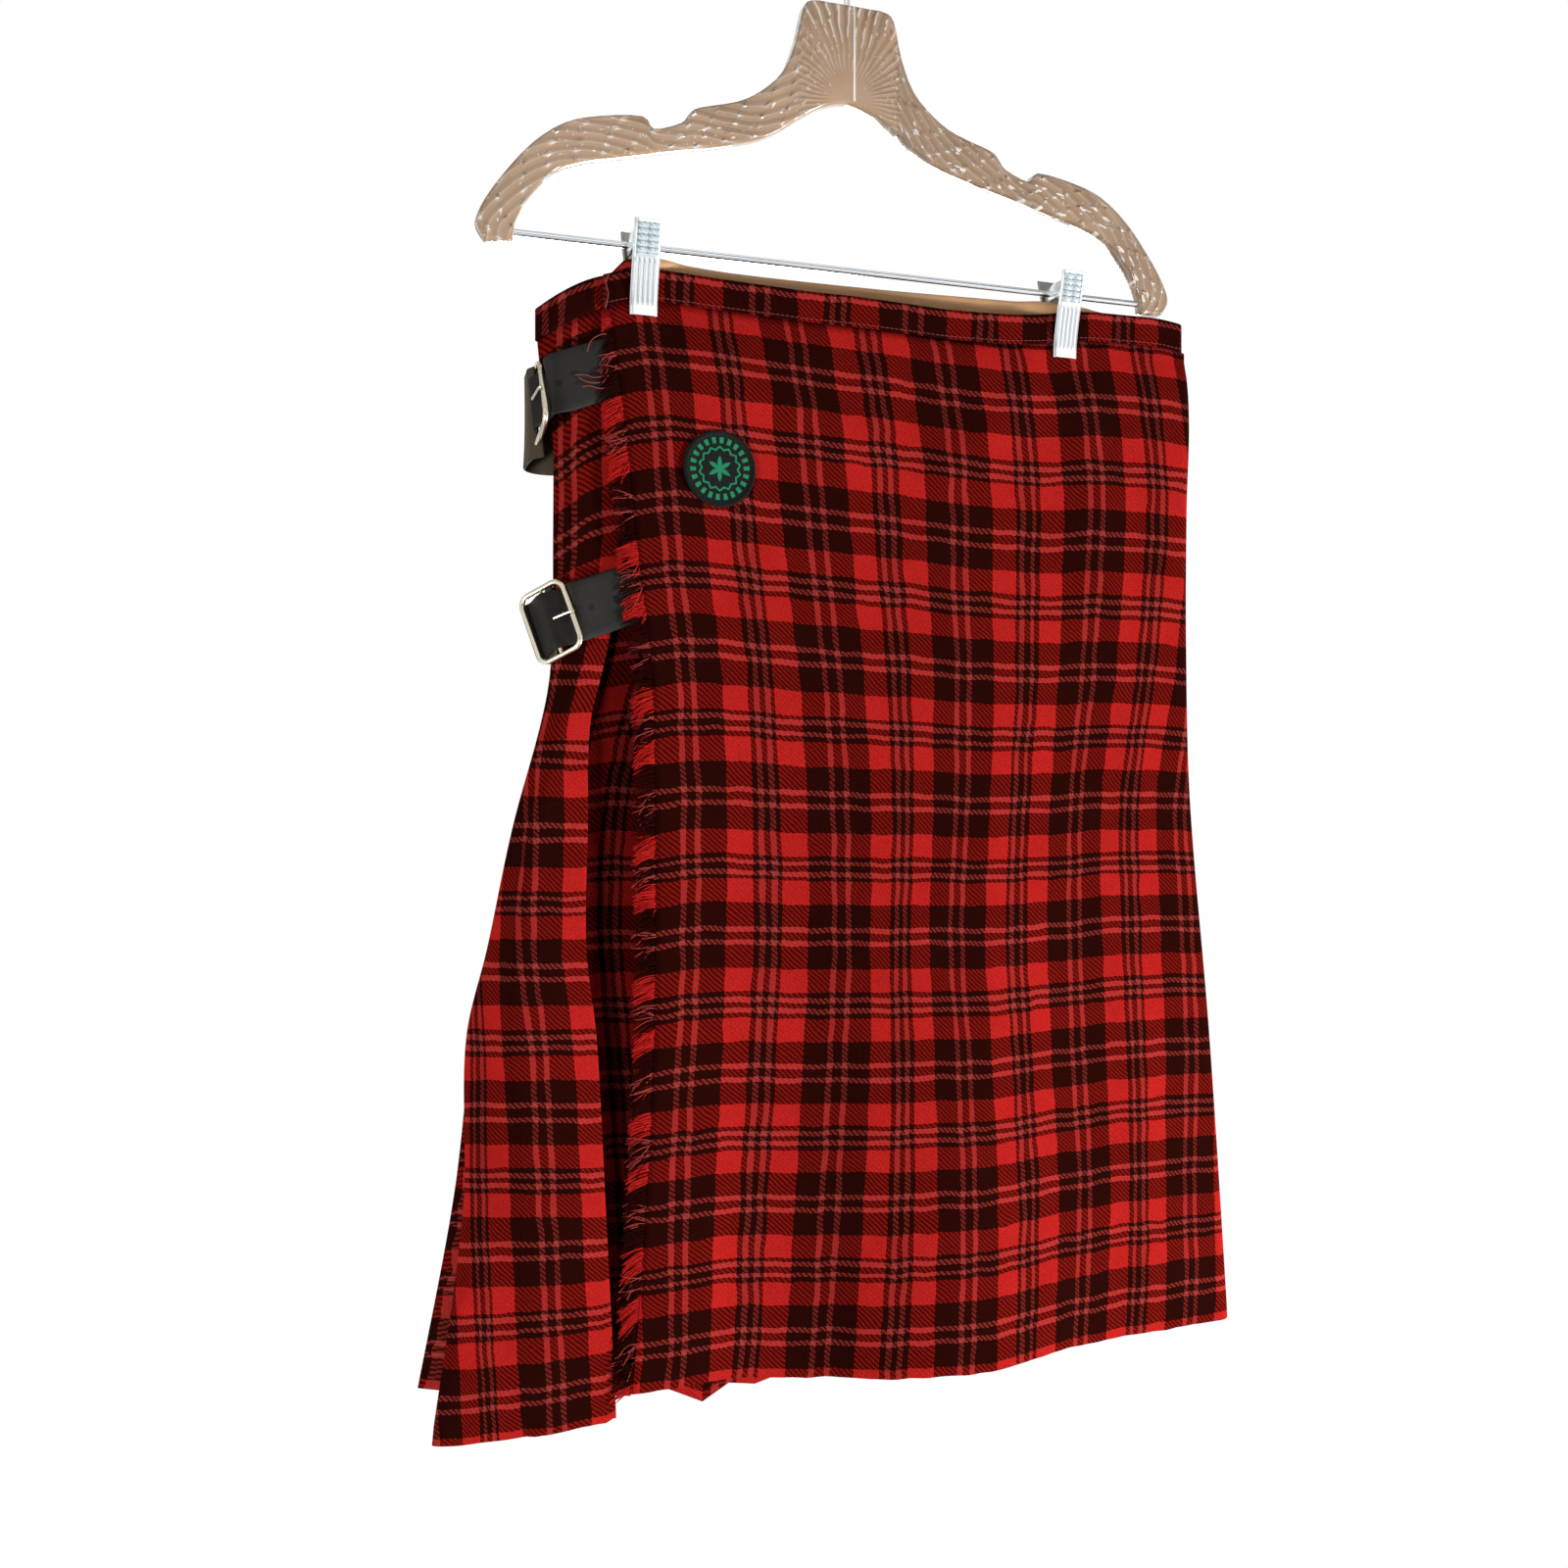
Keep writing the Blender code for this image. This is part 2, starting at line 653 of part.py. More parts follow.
def build_bands(collection, mat, tape):
    band("waistband_front", front_band_path(), BAND_HEIGHT, BAND_WALL, collection, mat)
    path = back_band_path()
    band("waistband_back", path, BAND_HEIGHT, BAND_WALL, collection, mat)
    apart = BAND_WALL / 2 + FACING_WALL / 2 + GAP
    start, stop = FACING_SPAN
    facing = [(x, y, z - FACING_DROP) for x, y, z in offset_path(path, apart)
              if start < x < stop and y < FACING_DEEPEST_Y]
    band("waist_facing", facing, BAND_HEIGHT - FACING_DROP, FACING_WALL, collection,
         tape)


# ---- straps, tabs, buckles ---------------------------------------------
Route = namedtuple("Route", "name frame_x frame_y turn frame_z slope before after tab")
# the buckle frame's middle and its direction in plan, degrees from +X; the
# strap's plan points before and after the frame and the tab's, mm; slope is
# the drop of the strap over its run
ROUTES = [
    Route("upper", -184.0, 12.5, 92.0, -0.3030, 0.40,
          [(-136, -2.0), (-147, -2.3), (-160, -3.7), (-170.0, -5.2), (-176.8, -5.6)],
          [(-180.8, 30.5), (-180.9, 35.5), (-181.8, 40.0)],
          [(-181.7, 11.7), (-180.4, 15.3), (-178.0, 18.8), (-174.8, 21.6),
           (-170.0, 21.8)]),
    Route("lower", -178.5, 2.5, 134.0, -0.4256, 0.35,
          [(-124, -2.9), (-138, -3.0), (-150, -3.7), (-158, -5.0)],
          [(-185.8, 18.0), (-185.2, 22.5)],
          [(-176.7, 3.9), (-177.8, 7.6), (-178.6, 11.8), (-178.2, 16.0),
           (-175.8, 20.4), (-170.5, 21.9)]),
]
# the strap's path through its frame, mm: along the frame and how far it rises
# over the centre bar from its level under the frame's two ends
THREADING = [(-15.0, 0), (-10.9, 0), (-6.0, 3.2), (-1.5, 6.3), (1.5, 6.3), (6.0, 3.2),
             (10.9, 0), (15.0, 0)]
UNDER_FRAME = -3.6          # the strap's level under the ends, out from the frame


def frame_axes(route):
    """Middle of the buckle's frame, its directions along, across and outward."""
    turn = math.radians(route.turn)
    run = Vector((math.cos(turn), math.sin(turn), 0))
    outward = Vector((-run.y, run.x, 0))
    along = Vector((run.x, run.y, -route.slope)).normalized()
    middle = Vector((route.frame_x * MM, route.frame_y * MM, route.frame_z))
    return middle, along, along.cross(outward), outward


def strap_points(route):
    """The strap's plan points and its rise from them, in metres."""
    turn = math.radians(route.turn)
    threaded = [(route.frame_x + a * math.cos(turn) - UNDER_FRAME * math.sin(turn),
                 route.frame_y + a * math.sin(turn) + UNDER_FRAME * math.cos(turn),
                 rise) for a, rise in THREADING]
    before = [(x, y, 0) for x, y in route.before]
    after = [(x, y, 0) for x, y in route.after]
    return [tuple(MM * value for value in p) for p in before + threaded + after]


def path_lengths(plan):
    lengths = [0.0]
    for a, b in zip(plan, plan[1:]):
        lengths.append(lengths[-1] + math.dist(a[:2], b[:2]))
    return lengths


def ribbon(name, plan, middle_z, slope, width, wall, collection, mat):
    """Leather of one width on a plan path that slopes down as it runs.

    plan holds x, y and the rise outward; middle_z gives the height of the
    middle line at each of its points.
    """
    rows = []
    for share in (-0.5, 0.0, 0.5):
        row = []
        for i, (x, y, rise) in enumerate(plan):
            a = Vector(plan[max(i - 2, 0)][:2])
            b = Vector(plan[min(i + 2, len(plan) - 1)][:2])
            run = (b - a).normalized()
            along = Vector((run.x, run.y, -slope)).normalized()
            outward = Vector((-run.y, run.x, 0))
            across = along.cross(outward)
            row.append(Vector((x, y, middle_z[i])) + outward * rise
                       + across * (share * width))
        rows.append(row)
    return sheet(name, rows, wall, collection, mat)


def build_strap(route, collection, leather):
    steps = 2
    plan = soft_path(strap_points(route), steps)
    lengths = path_lengths(plan)
    middle = lengths[steps * (len(route.before) + len(THREADING) // 2) - steps // 2]
    heights = [route.frame_z - route.slope * (run - middle) for run in lengths]
    ribbon(f"strap_{route.name}", plan, heights, route.slope, STRAP_WIDTH, STRAP_WALL,
           collection, leather)


def build_tab(route, collection, leather):
    """Leather tab from the buckle's centre bar on to the pleated back."""
    points = [(x * MM, y * MM, 0) for x, y in route.tab]
    for x in (-0.1640, -0.1560, TAB_REACH_X):
        y = back_y(x, route.frame_z - 0.015) + PLEAT_WALL / 2 + GAP + TAB_WALL / 2
        points.append((x, y + 0.0003, 0))
    plan = soft_path(points, 2)
    drop = route.slope * 0.35
    heights = [route.frame_z - drop * run for run in path_lengths(plan)]
    ribbon(f"buckle_tab_{route.name}", plan, heights, drop, TAB_WIDTH, TAB_WALL,
           collection, leather)


def wire(name, points, radius, closed, collection, mat):
    curve = bpy.data.curves.new(name, "CURVE")
    curve.dimensions = "3D"
    curve.bevel_depth = radius
    curve.bevel_resolution = 1
    curve.use_fill_caps = True
    spline = curve.splines.new("POLY")
    spline.points.add(len(points) - 1)
    spline.use_cyclic_u = closed
    for point, place in zip(spline.points, points):
        point.co = (*place, 1)
    obj = bpy.data.objects.new(name, curve)
    collection.objects.link(obj)
    if mat:
        obj.data.materials.append(mat)
    return obj


def as_mesh(obj, collection):
    """The same form as a welded mesh object, in the object's place."""
    bpy.context.view_layer.update()
    seen = obj.evaluated_get(bpy.context.evaluated_depsgraph_get())
    mesh = bpy.data.meshes.new_from_object(seen)
    mesh.transform(obj.matrix_world)
    name = obj.name
    bpy.data.objects.remove(obj, do_unlink=True)
    bm = bmesh.new()
    bm.from_mesh(mesh)
    bmesh.ops.remove_doubles(bm, verts=bm.verts, dist=1e-6)
    bmesh.ops.recalc_face_normals(bm, faces=bm.faces)
    bm.to_mesh(mesh)
    bm.free()
    made = bpy.data.objects.new(name, mesh)
    collection.objects.link(made)
    return made


def combine(obj, other, operation):
    """Boolean of another object into this one; the other is kept as a tool."""
    other.hide_render = True
    other.display_type = "WIRE"
    step = obj.modifiers.new(other.name, "BOOLEAN")
    step.operation = operation
    step.solver = "EXACT"
    step.object = other


def build_buckle(route, collection, cutters, metal):
    """Rectangular wire frame with a centre bar, and the tongue over it."""
    middle, along, across, outward = frame_axes(route)
    middle = middle + Vector((KILT_SHIFT_X, 0, 0))
    corner = 0.006
    half_l = BUCKLE_LENGTH / 2 - BUCKLE_WIRE / 2
    half_h = BUCKLE_HEIGHT / 2 - BUCKLE_WIRE / 2
    ring = []
    for sx, sy, start in ((1, 1, 0), (-1, 1, 90), (-1, -1, 180), (1, -1, 270)):
        for k in range(4):
            turn = math.radians(start + 30 * k)
            a = sx * (half_l - corner) + corner * math.cos(turn)
            b = sy * (half_h - corner) + corner * math.sin(turn)
            ring.append(middle + along * a + across * b)
    frame = wire(f"buckle_{route.name}", ring, BUCKLE_WIRE / 2, True, collection, None)
    frame = as_mesh(frame, collection)
    frame.data.materials.append(metal)
    ends = [middle + across * half_h, middle - across * half_h]
    bar = wire(f"centre_bar_{route.name}", ends, CENTRE_BAR_WIRE / 2, False, cutters,
               None)
    combine(frame, as_mesh(bar, cutters), "UNION")
    # the tongue rises from its hole in the strap and lies over the near bar
    low = 0.0037
    over = BUCKLE_WIRE / 2 + TONGUE_WIRE / 2 + GAP
    profile = [(-0.0045, low), (-0.0075, over + 0.0004), (-0.0129, over),
               (-0.0152, over - 0.0003)]
    tongue = [middle + along * a + outward * b for a, b in profile]
    wire(f"buckle_tongue_{route.name}", tongue, TONGUE_WIRE / 2, False, collection,
         metal)


def build_fastening(route, collection, cutters, leather, metal):
    build_strap(route, collection, leather)
    build_tab(route, collection, leather)
    build_buckle(route, collection, cutters, metal)


# ---- patch --------------------------------------------------------------
def build_patch(collection, mat):
    """Round patch that follows the over apron's front."""
    wall = PATCH_WALL
    bm = bmesh.new()
    bmesh.ops.create_circle(bm, cap_ends=True, radius=PATCH_RADIUS, segments=28)
    bm.faces.ensure_lookup_table()
    for thickness in (0.006, 0.009):
        bmesh.ops.inset_region(bm, faces=[bm.faces[0]], thickness=thickness)
        bm.faces.ensure_lookup_table()
    for vert in bm.verts:
        x = PATCH_CENTRE[0] + vert.co.x
        z = PATCH_CENTRE[1] + vert.co.y
        y = front_y(x, z) - CLOTH_WALL / 2 - GAP - wall / 2 - 0.0002
        vert.co = (x + KILT_SHIFT_X, y, z)
    mesh = bpy.data.meshes.new("round_patch")
    bm.to_mesh(mesh)
    bm.free()
    obj = link("round_patch", mesh, collection, mat)
    solid = obj.modifiers.new("Wall", "SOLIDIFY")
    solid.thickness = wall
    solid.offset = 0


# ---- hanger -------------------------------------------------------------
def cylinder(name, radius, length, centre, axis, segments, collection):
    bm = bmesh.new()
    bmesh.ops.create_cone(bm, cap_ends=True, segments=segments, radius1=radius,
                          radius2=radius, depth=length)
    turn = Vector((0, 0, 1)).rotation_difference(Vector(axis)).to_matrix().to_4x4()
    bm.transform(turn)
    mesh = bpy.data.meshes.new(name)
    bm.to_mesh(mesh)
    bm.free()
    obj = bpy.data.objects.new(name, mesh)
    obj.location = centre
    collection.objects.link(obj)
    return obj


def build_hanger(collection, cutters, clear, chrome):
    half = soft_path([(x * MM, z * MM) for x, z in HANGER_HALF], 2)
    outline = half + [(-x, z) for x, z in reversed(half[1:-1])]
    curve = bpy.data.curves.new("hanger_outline", "CURVE")
    curve.dimensions = "2D"
    curve.fill_mode = "BOTH"
    curve.extrude = HANGER_THICKNESS / 2
    spline = curve.splines.new("POLY")
    spline.points.add(len(outline) - 1)
    spline.use_cyclic_u = True
    for point, (x, z) in zip(spline.points, outline):
        point.co = (x, z, 0, 1)
    drawn = bpy.data.objects.new("hanger_body", curve)
    drawn.rotation_euler = (math.pi / 2, 0, 0)
    collection.objects.link(drawn)
    body = as_mesh(drawn, collection)
    body.data.materials.append(clear)
    hole = HOOK_WIRE_RADIUS + SOCKET_CLEARANCE
    top = HANGER_HALF[0][1] * MM
    depth = HOOK_SHANK_DEPTH + GAP
    shank = cylinder("cut_shank", hole, depth + 0.01, (0, 0, top - depth / 2 + 0.005),
                     (0, 0, 1), 16, cutters)
    combine(body, shank, "DIFFERENCE")
    reach = 2 * (BAR_REACH + GAP)
    sockets = cylinder("cut_sockets", BAR_RADIUS + SOCKET_CLEARANCE, reach,
                       (0, 0, BAR_Z), (1, 0, 0), 16, cutters)
    combine(body, sockets, "DIFFERENCE")
    bar = cylinder("clip_bar", BAR_RADIUS, 2 * BAR_REACH, (0, 0, BAR_Z), (1, 0, 0), 16,
                   collection)
    bar.data.materials.append(chrome)
    build_hook(collection, chrome)


def build_hook(collection, chrome):
    """Wire hook whose inner top is the origin."""
    centre_z = HOOK_WIRE_RADIUS - HOOK_RADIUS
    bottom = HANGER_HALF[0][1] * MM - HOOK_SHANK_DEPTH
    points = [(0, bottom), (0, bottom + 0.010), (0, -0.047), (0.0012, -0.0425)]
    for angle in range(-60, 206, 12):
        turn = math.radians(angle)
        points.append((HOOK_RADIUS * math.cos(turn),
                       centre_z + HOOK_RADIUS * math.sin(turn)))
    smooth = soft_path(points[:6], 2)[:-1] + points[5:]
    wire("hook", [(x, 0, z) for x, z in smooth], HOOK_WIRE_RADIUS, False, collection,
         chrome)


# ---- clips --------------------------------------------------------------
# plates and their cheeks seen from the side, mm: y and z
FRONT_PLATE = [(-16, -201.5), (-15, -206.5), (-13.2, -213), (-10.6, -222.5),
               (-7.6, -234), (-5.6, -244), (-5.2, -252.3)]
BACK_PLATE = [(16, -200), (14, -206.5), (11, -215), (7, -224), (3.8, -230),
              (2.3, -233), (2.2, -235.4)]
FRONT_CHEEK = [(-14.4, -207.5), (-12.2, -216.4), (-3.0, -216.4), (2.6, -215.6),
               (3.7, -212.5), (2.4, -209.3), (-3.0, -207)]
BACK_CHEEK = [(13.2, -208), (10.3, -216.4), (3.0, -216.4), (-2.6, -215.6),
              (-3.7, -212.5), (-2.4, -209.3), (3.0, -207)]


def prism(name, outline, wall, middle_x, collection):
    """Flat plate with an outline in Y and Z, mm, and a wall along X."""
    bm = bmesh.new()
    verts = [bm.verts.new((middle_x - wall / 2, y * MM, z * MM)) for y, z in outline]
    face = bm.faces.new(verts)
    drawn = bmesh.ops.extrude_face_region(bm, geom=[face])
    for item in drawn["geom"]:
        if isinstance(item, bmesh.types.BMVert):
            item.co.x += wall
    bmesh.ops.recalc_face_normals(bm, faces=bm.faces)
    mesh = bpy.data.meshes.new(name)
    bm.to_mesh(mesh)
    bm.free()
    obj = bpy.data.objects.new(name, mesh)
    collection.objects.link(obj)
    return obj


def clip_half(name, profile, cheek, cheek_x, middle_x, collection, cutters, chrome):
    """Stamped plate with two cheeks that turn on the bar."""
    path = soft_path([(y * MM, z * MM) for y, z in profile], 1)
    rows = []
    for share in (-0.5, 0.5):
        rows.append([(middle_x + share * CLIP_WIDTH, y, z) for y, z in path])
    plate = sheet(name, rows, CLIP_WALL, collection, chrome)
    centre = middle_x + KILT_SHIFT_X
    for side in (-1, 1):
        lug = prism(f"{name}_cheek", cheek, CLIP_WALL, centre + side * cheek_x, cutters)
        combine(plate, lug, "UNION")
    hole = cylinder(f"{name}_hole", BAR_RADIUS + SOCKET_CLEARANCE, CLIP_WIDTH + 0.004,
                    (centre, 0, BAR_Z), (1, 0, 0), 12, cutters)
    combine(plate, hole, "DIFFERENCE")


def build_clip(side, middle_x, collection, cutters, chrome):
    outer = CLIP_WIDTH / 2 - CLIP_WALL / 2
    inner = outer - CLIP_WALL - GAP
    clip_half(f"clip_front_plate_{side}", FRONT_PLATE, FRONT_CHEEK, outer, middle_x,
              collection, cutters, chrome)
    clip_half(f"clip_back_plate_{side}", BACK_PLATE, BACK_CHEEK, inner, middle_x,
              collection, cutters, chrome)
    place = (middle_x + KILT_SHIFT_X, 0, BAR_Z)
    spring = cylinder(f"clip_spring_{side}", SPRING_RADIUS, SPRING_LENGTH, place,
                      (1, 0, 0), 12, collection)
    spring.data.materials.append(chrome)
    bore = cylinder(f"clip_spring_{side}_bore", BAR_RADIUS + SOCKET_CLEARANCE,
                    SPRING_LENGTH + 0.004, place, (1, 0, 0), 12, cutters)
    combine(spring, bore, "DIFFERENCE")


def main():
    clear_scene()
    kilt = new_collection("scottish_kilt_on_clip_hanger")
    cutters = new_collection("cutters")
    tartan = material("tartan", (0.35, 0.03, 0.02), 0.9)
    tape = material("facing_tape", (0.55, 0.36, 0.20), 0.85)
    leather = material("strap_leather", (0.035, 0.038, 0.036), 0.55)
    buckle = material("buckle_metal", (0.80, 0.74, 0.62), 0.25, 1.0)
    chrome = material("chrome", (0.85, 0.87, 0.88), 0.12, 1.0)
    clear = material("clear_plastic", (0.75, 0.62, 0.48), 0.08)
    patch = material("patch_cloth", (0.02, 0.02, 0.018), 0.9)
    build_over_apron(kilt, tartan)
    build_fringe(kilt, tartan)
    build_side_pleat(kilt, tartan)
    build_under_apron(kilt, tartan)
    build_back(kilt, tartan)
    build_bands(kilt, tartan, tape)
    build_patch(kilt, patch)
    for route in ROUTES:
        build_fastening(route, kilt, cutters, leather, buckle)
    build_hanger(kilt, cutters, clear, chrome)
    for side, middle_x in zip(("right_hip", "left_hip"), CLIP_X):
        build_clip(side, middle_x, kilt, cutters, chrome)


main()
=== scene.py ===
"""Looks of a wrapped tartan kilt that hangs by two clips from a clear hanger."""

import bisect
import logging
import math
import random
from dataclasses import dataclass, field
from enum import Enum
from functools import partialmethod
from typing import Any, Callable, NamedTuple, Optional, Sequence

import bmesh
import bpy
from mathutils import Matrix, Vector, noise

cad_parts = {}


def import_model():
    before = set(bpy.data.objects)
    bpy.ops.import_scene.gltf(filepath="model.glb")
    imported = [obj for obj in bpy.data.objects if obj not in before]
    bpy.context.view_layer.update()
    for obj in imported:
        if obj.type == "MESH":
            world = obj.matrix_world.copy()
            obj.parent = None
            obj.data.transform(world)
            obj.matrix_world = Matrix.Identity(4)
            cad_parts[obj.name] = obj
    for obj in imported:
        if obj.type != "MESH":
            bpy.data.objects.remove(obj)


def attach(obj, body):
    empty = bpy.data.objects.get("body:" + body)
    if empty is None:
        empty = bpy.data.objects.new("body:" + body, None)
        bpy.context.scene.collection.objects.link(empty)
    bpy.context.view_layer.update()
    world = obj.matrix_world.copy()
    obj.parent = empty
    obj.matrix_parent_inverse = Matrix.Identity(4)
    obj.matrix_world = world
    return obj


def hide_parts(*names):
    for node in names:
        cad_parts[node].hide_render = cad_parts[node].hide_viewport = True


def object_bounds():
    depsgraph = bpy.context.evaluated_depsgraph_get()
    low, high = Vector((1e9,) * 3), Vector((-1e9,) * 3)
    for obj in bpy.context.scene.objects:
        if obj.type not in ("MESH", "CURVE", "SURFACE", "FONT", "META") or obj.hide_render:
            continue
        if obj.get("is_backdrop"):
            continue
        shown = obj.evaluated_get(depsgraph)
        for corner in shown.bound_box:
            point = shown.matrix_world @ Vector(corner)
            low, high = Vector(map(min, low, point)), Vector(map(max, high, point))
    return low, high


LOG = logging.getLogger("kilt")
MM = 0.001
SHIFT_X = 0.002             # the kilt's own middle, off the hanger's
WEAVE = "Weave"             # name of the UV map that follows the threads
SETT = 0.080                # one repeat of the tartan
Point = Sequence[float]
Rows = list[list[Point]]
Material = bpy.types.Material


# ---- tables -------------------------------------------------------------
class Side(NamedTuple):
    """Plan of the wide side pleat at one height, in millimetres."""

    z: float
    fold_x: float
    fold_y: float
    ridge_x: float
    ridge_y: float
    valley_x: float
    valley_y: float
    turn_x: float
    turn_y: float
    inner_x: float
    inner_y: float
    first_x: float
    first_y: float
    under_gap: float
    deep_x: float


class Crease(NamedTuple):
    """A soft crease of the front: its two ends, width and lift, in millimetres."""

    x0: float
    z0: float
    x1: float
    z1: float
    width: float
    lift: float


class Route(NamedTuple):
    """One strap's way: its buckle's place and the plan points about it, in millimetres.

    The height, the tab's width and its fall under the buckle, and the places of the
    punched holes are in metres.
    """

    name: str
    frame_x: float
    frame_y: float
    turn: float
    frame_z: float
    slope: float
    tab_width: float
    tab_lower: float
    holes: tuple
    before: list
    after: list
    tab: list


class Station(NamedTuple):
    """Upper and lower outline of the hanger's moulding at one place, in millimetres."""

    top_x: float
    top_z: float
    low_x: float
    low_z: float


# X of the apron's free edge and of the kilt's right edge, by height
FREE_EDGE = [(-0.228, -0.1500), (-0.300, -0.1395), (-0.386, -0.1305), (-0.461, -0.1220),
             (-0.655, -0.1215), (-0.760, -0.1270), (-0.858, -0.1350)]
RIGHT_EDGE = [(-0.222, 0.2285), (-0.285, 0.2325), (-0.340, 0.2308), (-0.430, 0.2305),
              (-0.528, 0.2335), (-0.675, 0.2485), (-0.858, 0.2640)]
# depth of the front at its hem along the kilt, in millimetres
HEM_FOLDS = [(-135, -9.0), (-110, -8.5), (-82, -5.0), (-55, -6.5), (-25, -14.0), (5, -27.0),
             (35, -36.0), (60, -38.0), (85, -34.0), (110, -28.0), (150, -19.0), (186, -14.0),
             (223, -10.0), (264, -5.0)]
# heights of the cloth's edges along the kilt
FRONT_TOP = [(-0.150, -0.2310), (-0.138, -0.2275), (-0.125, -0.2252), (-0.080, -0.2265),
             (-0.034, -0.2279), (0.020, -0.2285), (0.060, -0.2297), (0.100, -0.2288),
             (0.123, -0.2269), (0.154, -0.2222), (0.190, -0.2211), (0.212, -0.2213),
             (0.229, -0.2234)]
BACK_TOP = [(-0.185, -0.2500), (-0.178, -0.2455), (-0.165, -0.2365), (-0.145, -0.2240),
            (-0.125, -0.2182), (-0.070, -0.2191), (0.025, -0.2184), (0.128, -0.2172),
            (0.165, -0.2184), (0.229, -0.2234)]
LEFT_TOP = [(-0.185, -0.2505), (-0.175, -0.2435), (-0.162, -0.2360), (-0.150, -0.2312),
            (-0.137, -0.2285)]
FRONT_HEM = [(-0.150, -0.8555), (-0.090, -0.8560), (-0.050, -0.8580), (0.050, -0.8595),
             (0.150, -0.8585), (0.220, -0.8600), (0.264, -0.8620)]
# hem heights of each pleat, at its fold and under the next pleat
PLEAT_HEM = [(-0.858, -0.862), (-0.862, -0.864), (-0.862, -0.864), (-0.861, -0.864),
             (-0.862, -0.8752), (-0.866, -0.8690), (-0.865, -0.864), (-0.862, -0.864),
             (-0.861, -0.863), (-0.860, -0.862), (-0.859, -0.861), (-0.858, -0.860),
             (-0.858, -0.859), (-0.857, -0.858), (-0.857, -0.858)]
SIDE = [
    Side(-262, -137, 0.4, -160, -0.6, -175, 1.0, -184.6, 9, -167, 12, -179, 19, 1.6, -163),
    Side(-283, -137, 0.4, -159, -0.6, -172, 1.0, -182.6, 9, -162, 12, -175, 18.5, 1.6, -161),
    Side(-313, -137, 0.4, -158, -0.6, -168, 1.5, -176, 9, -160, 12, -173, 18, 1.6, -160),
    Side(-390, -138, 0.2, -157, -0.8, -167, 1.8, -175, 9, -160, 12, -173, 18, 1.6, -159),
    Side(-450, -150, -0.6, -162, -1.4, -168.5, 1.6, -176.6, 9, -160, 13, -173, 19, 2.2, -163),
    Side(-482, -157.8, -1.4, -173, -2.6, -178, 1.0, -182, 9, -165, 14, -178, 20, 3.0, -172.5),
    Side(-540, -159.4, -3.0, -186, -4.4, -192, 3.0, -197, 13, -178, 17, -193, 25, 4.2, -184),
    Side(-606, -160.6, -4.4, -196, -5.6, -204, 5.0, -210, 18, -189, 21, -205, 30, 5.0, -187),
    Side(-658, -154.8, -5.2, -198, -6.0, -210, 6.0, -222, 20, -197, 24, -215, 35, 5.0, -183),
    Side(-750, -150, -6.0, -185, -7.5, -206, 0.0, -225, 11, -203, 22, -225, 40, 5.0, -177),
    Side(-871, -144, -7.0, -180, -8.5, -205, -4.0, -243, 3, -212, 22, -246, 50, 5.0, -171),
]
CREASES = [
    Crease(-112, -262, -20, -305, 13, 1.8), Crease(-20, -305, 60, -330, 18, 1.2),
    Crease(-118, -262, -95, -420, 10, 1.0), Crease(130, -258, 60, -330, 16, 1.2),
    Crease(150, -258, 175, -420, 14, 1.0), Crease(215, -300, 190, -520, 12, 0.8),
    Crease(-60, -380, 20, -480, 20, -0.8), Crease(-20, -560, 10, -720, 14, 0.7),
    Crease(90, -470, 80, -700, 18, 0.8), Crease(180, -640, 195, -840, 12, 0.9),
    Crease(-90, -640, -96, -850, 12, 0.8), Crease(140, -600, 150, -850, 14, -0.6),
]
# arc lengths of the middles of the dark warp stripes, by the drop, in millimetres
WARP_PAIRS = [(0, 20, 108.5, 203, 297, 388), (100, 19, 108.5, 201, 296, 386),
              (200, 19, 107.5, 191, 279, 363), (280, 20, 110, 186, 267.5, 345),
              (360, 20, 110.5, 181, 266, 350), (435, 18, 109, 186, 270, 356),
              (515, 19, 109, 192.5, 280, 361), (590, 24, 110, 196, 284, 370),
              (615, 24, 110, 197, 285, 371)]
# drops of the middles of the dark weft stripes, millimetres: front and side
FRONT_PAIRS = [31, 112, 194, 278, 358, 437, 512, 588.5]
SIDE_PAIRS = [30, 117, 204, 291, 367, 444, 518, 591, 661]
# the upper weft stripes run lower towards the left hip: by drop, and by arc length
SAG_BY_DROP = [(0, 6), (31, 7), (115, 11), (200, 10), (280, 5), (360, 2), (437, 0),
               (615, 0)]
SAG_BY_ARC = [(0, 0), (65, 0.10), (125, 0.28), (205, 0.60), (285, 1.0), (420, 1.0)]
ROUTES = [
    Route("upper", -184.0, 12.5, 92.0, -0.3030, 0.40, 0.052, 0.004, (0.0402, 0.0210),
          [(-136, -2.0), (-147, -2.3), (-160, -3.7), (-170.0, -5.2), (-176.8, -5.6)],
          [(-180.8, 30.0), (-180.9, 32.5)],
          [(-183.0, 12.5), (-186.5, 16.5), (-187.4, 22.0), (-187.2, 29.0),
           (-185.6, 34.5), (-180.5, 37.0), (-173.0, 33.0)]),
    Route("lower", -178.5, 2.5, 134.0, -0.4256, 0.35, 0.0432, -0.0021, (0.0191, 0.0340),
          [(-124, -2.9), (-138, -3.0), (-150, -3.7), (-158, -5.0)],
          [],
          [(-176.7, 3.9), (-177.8, 7.6), (-178.6, 11.8), (-178.2, 16.0),
           (-175.8, 20.4), (-170.5, 21.9)]),
]
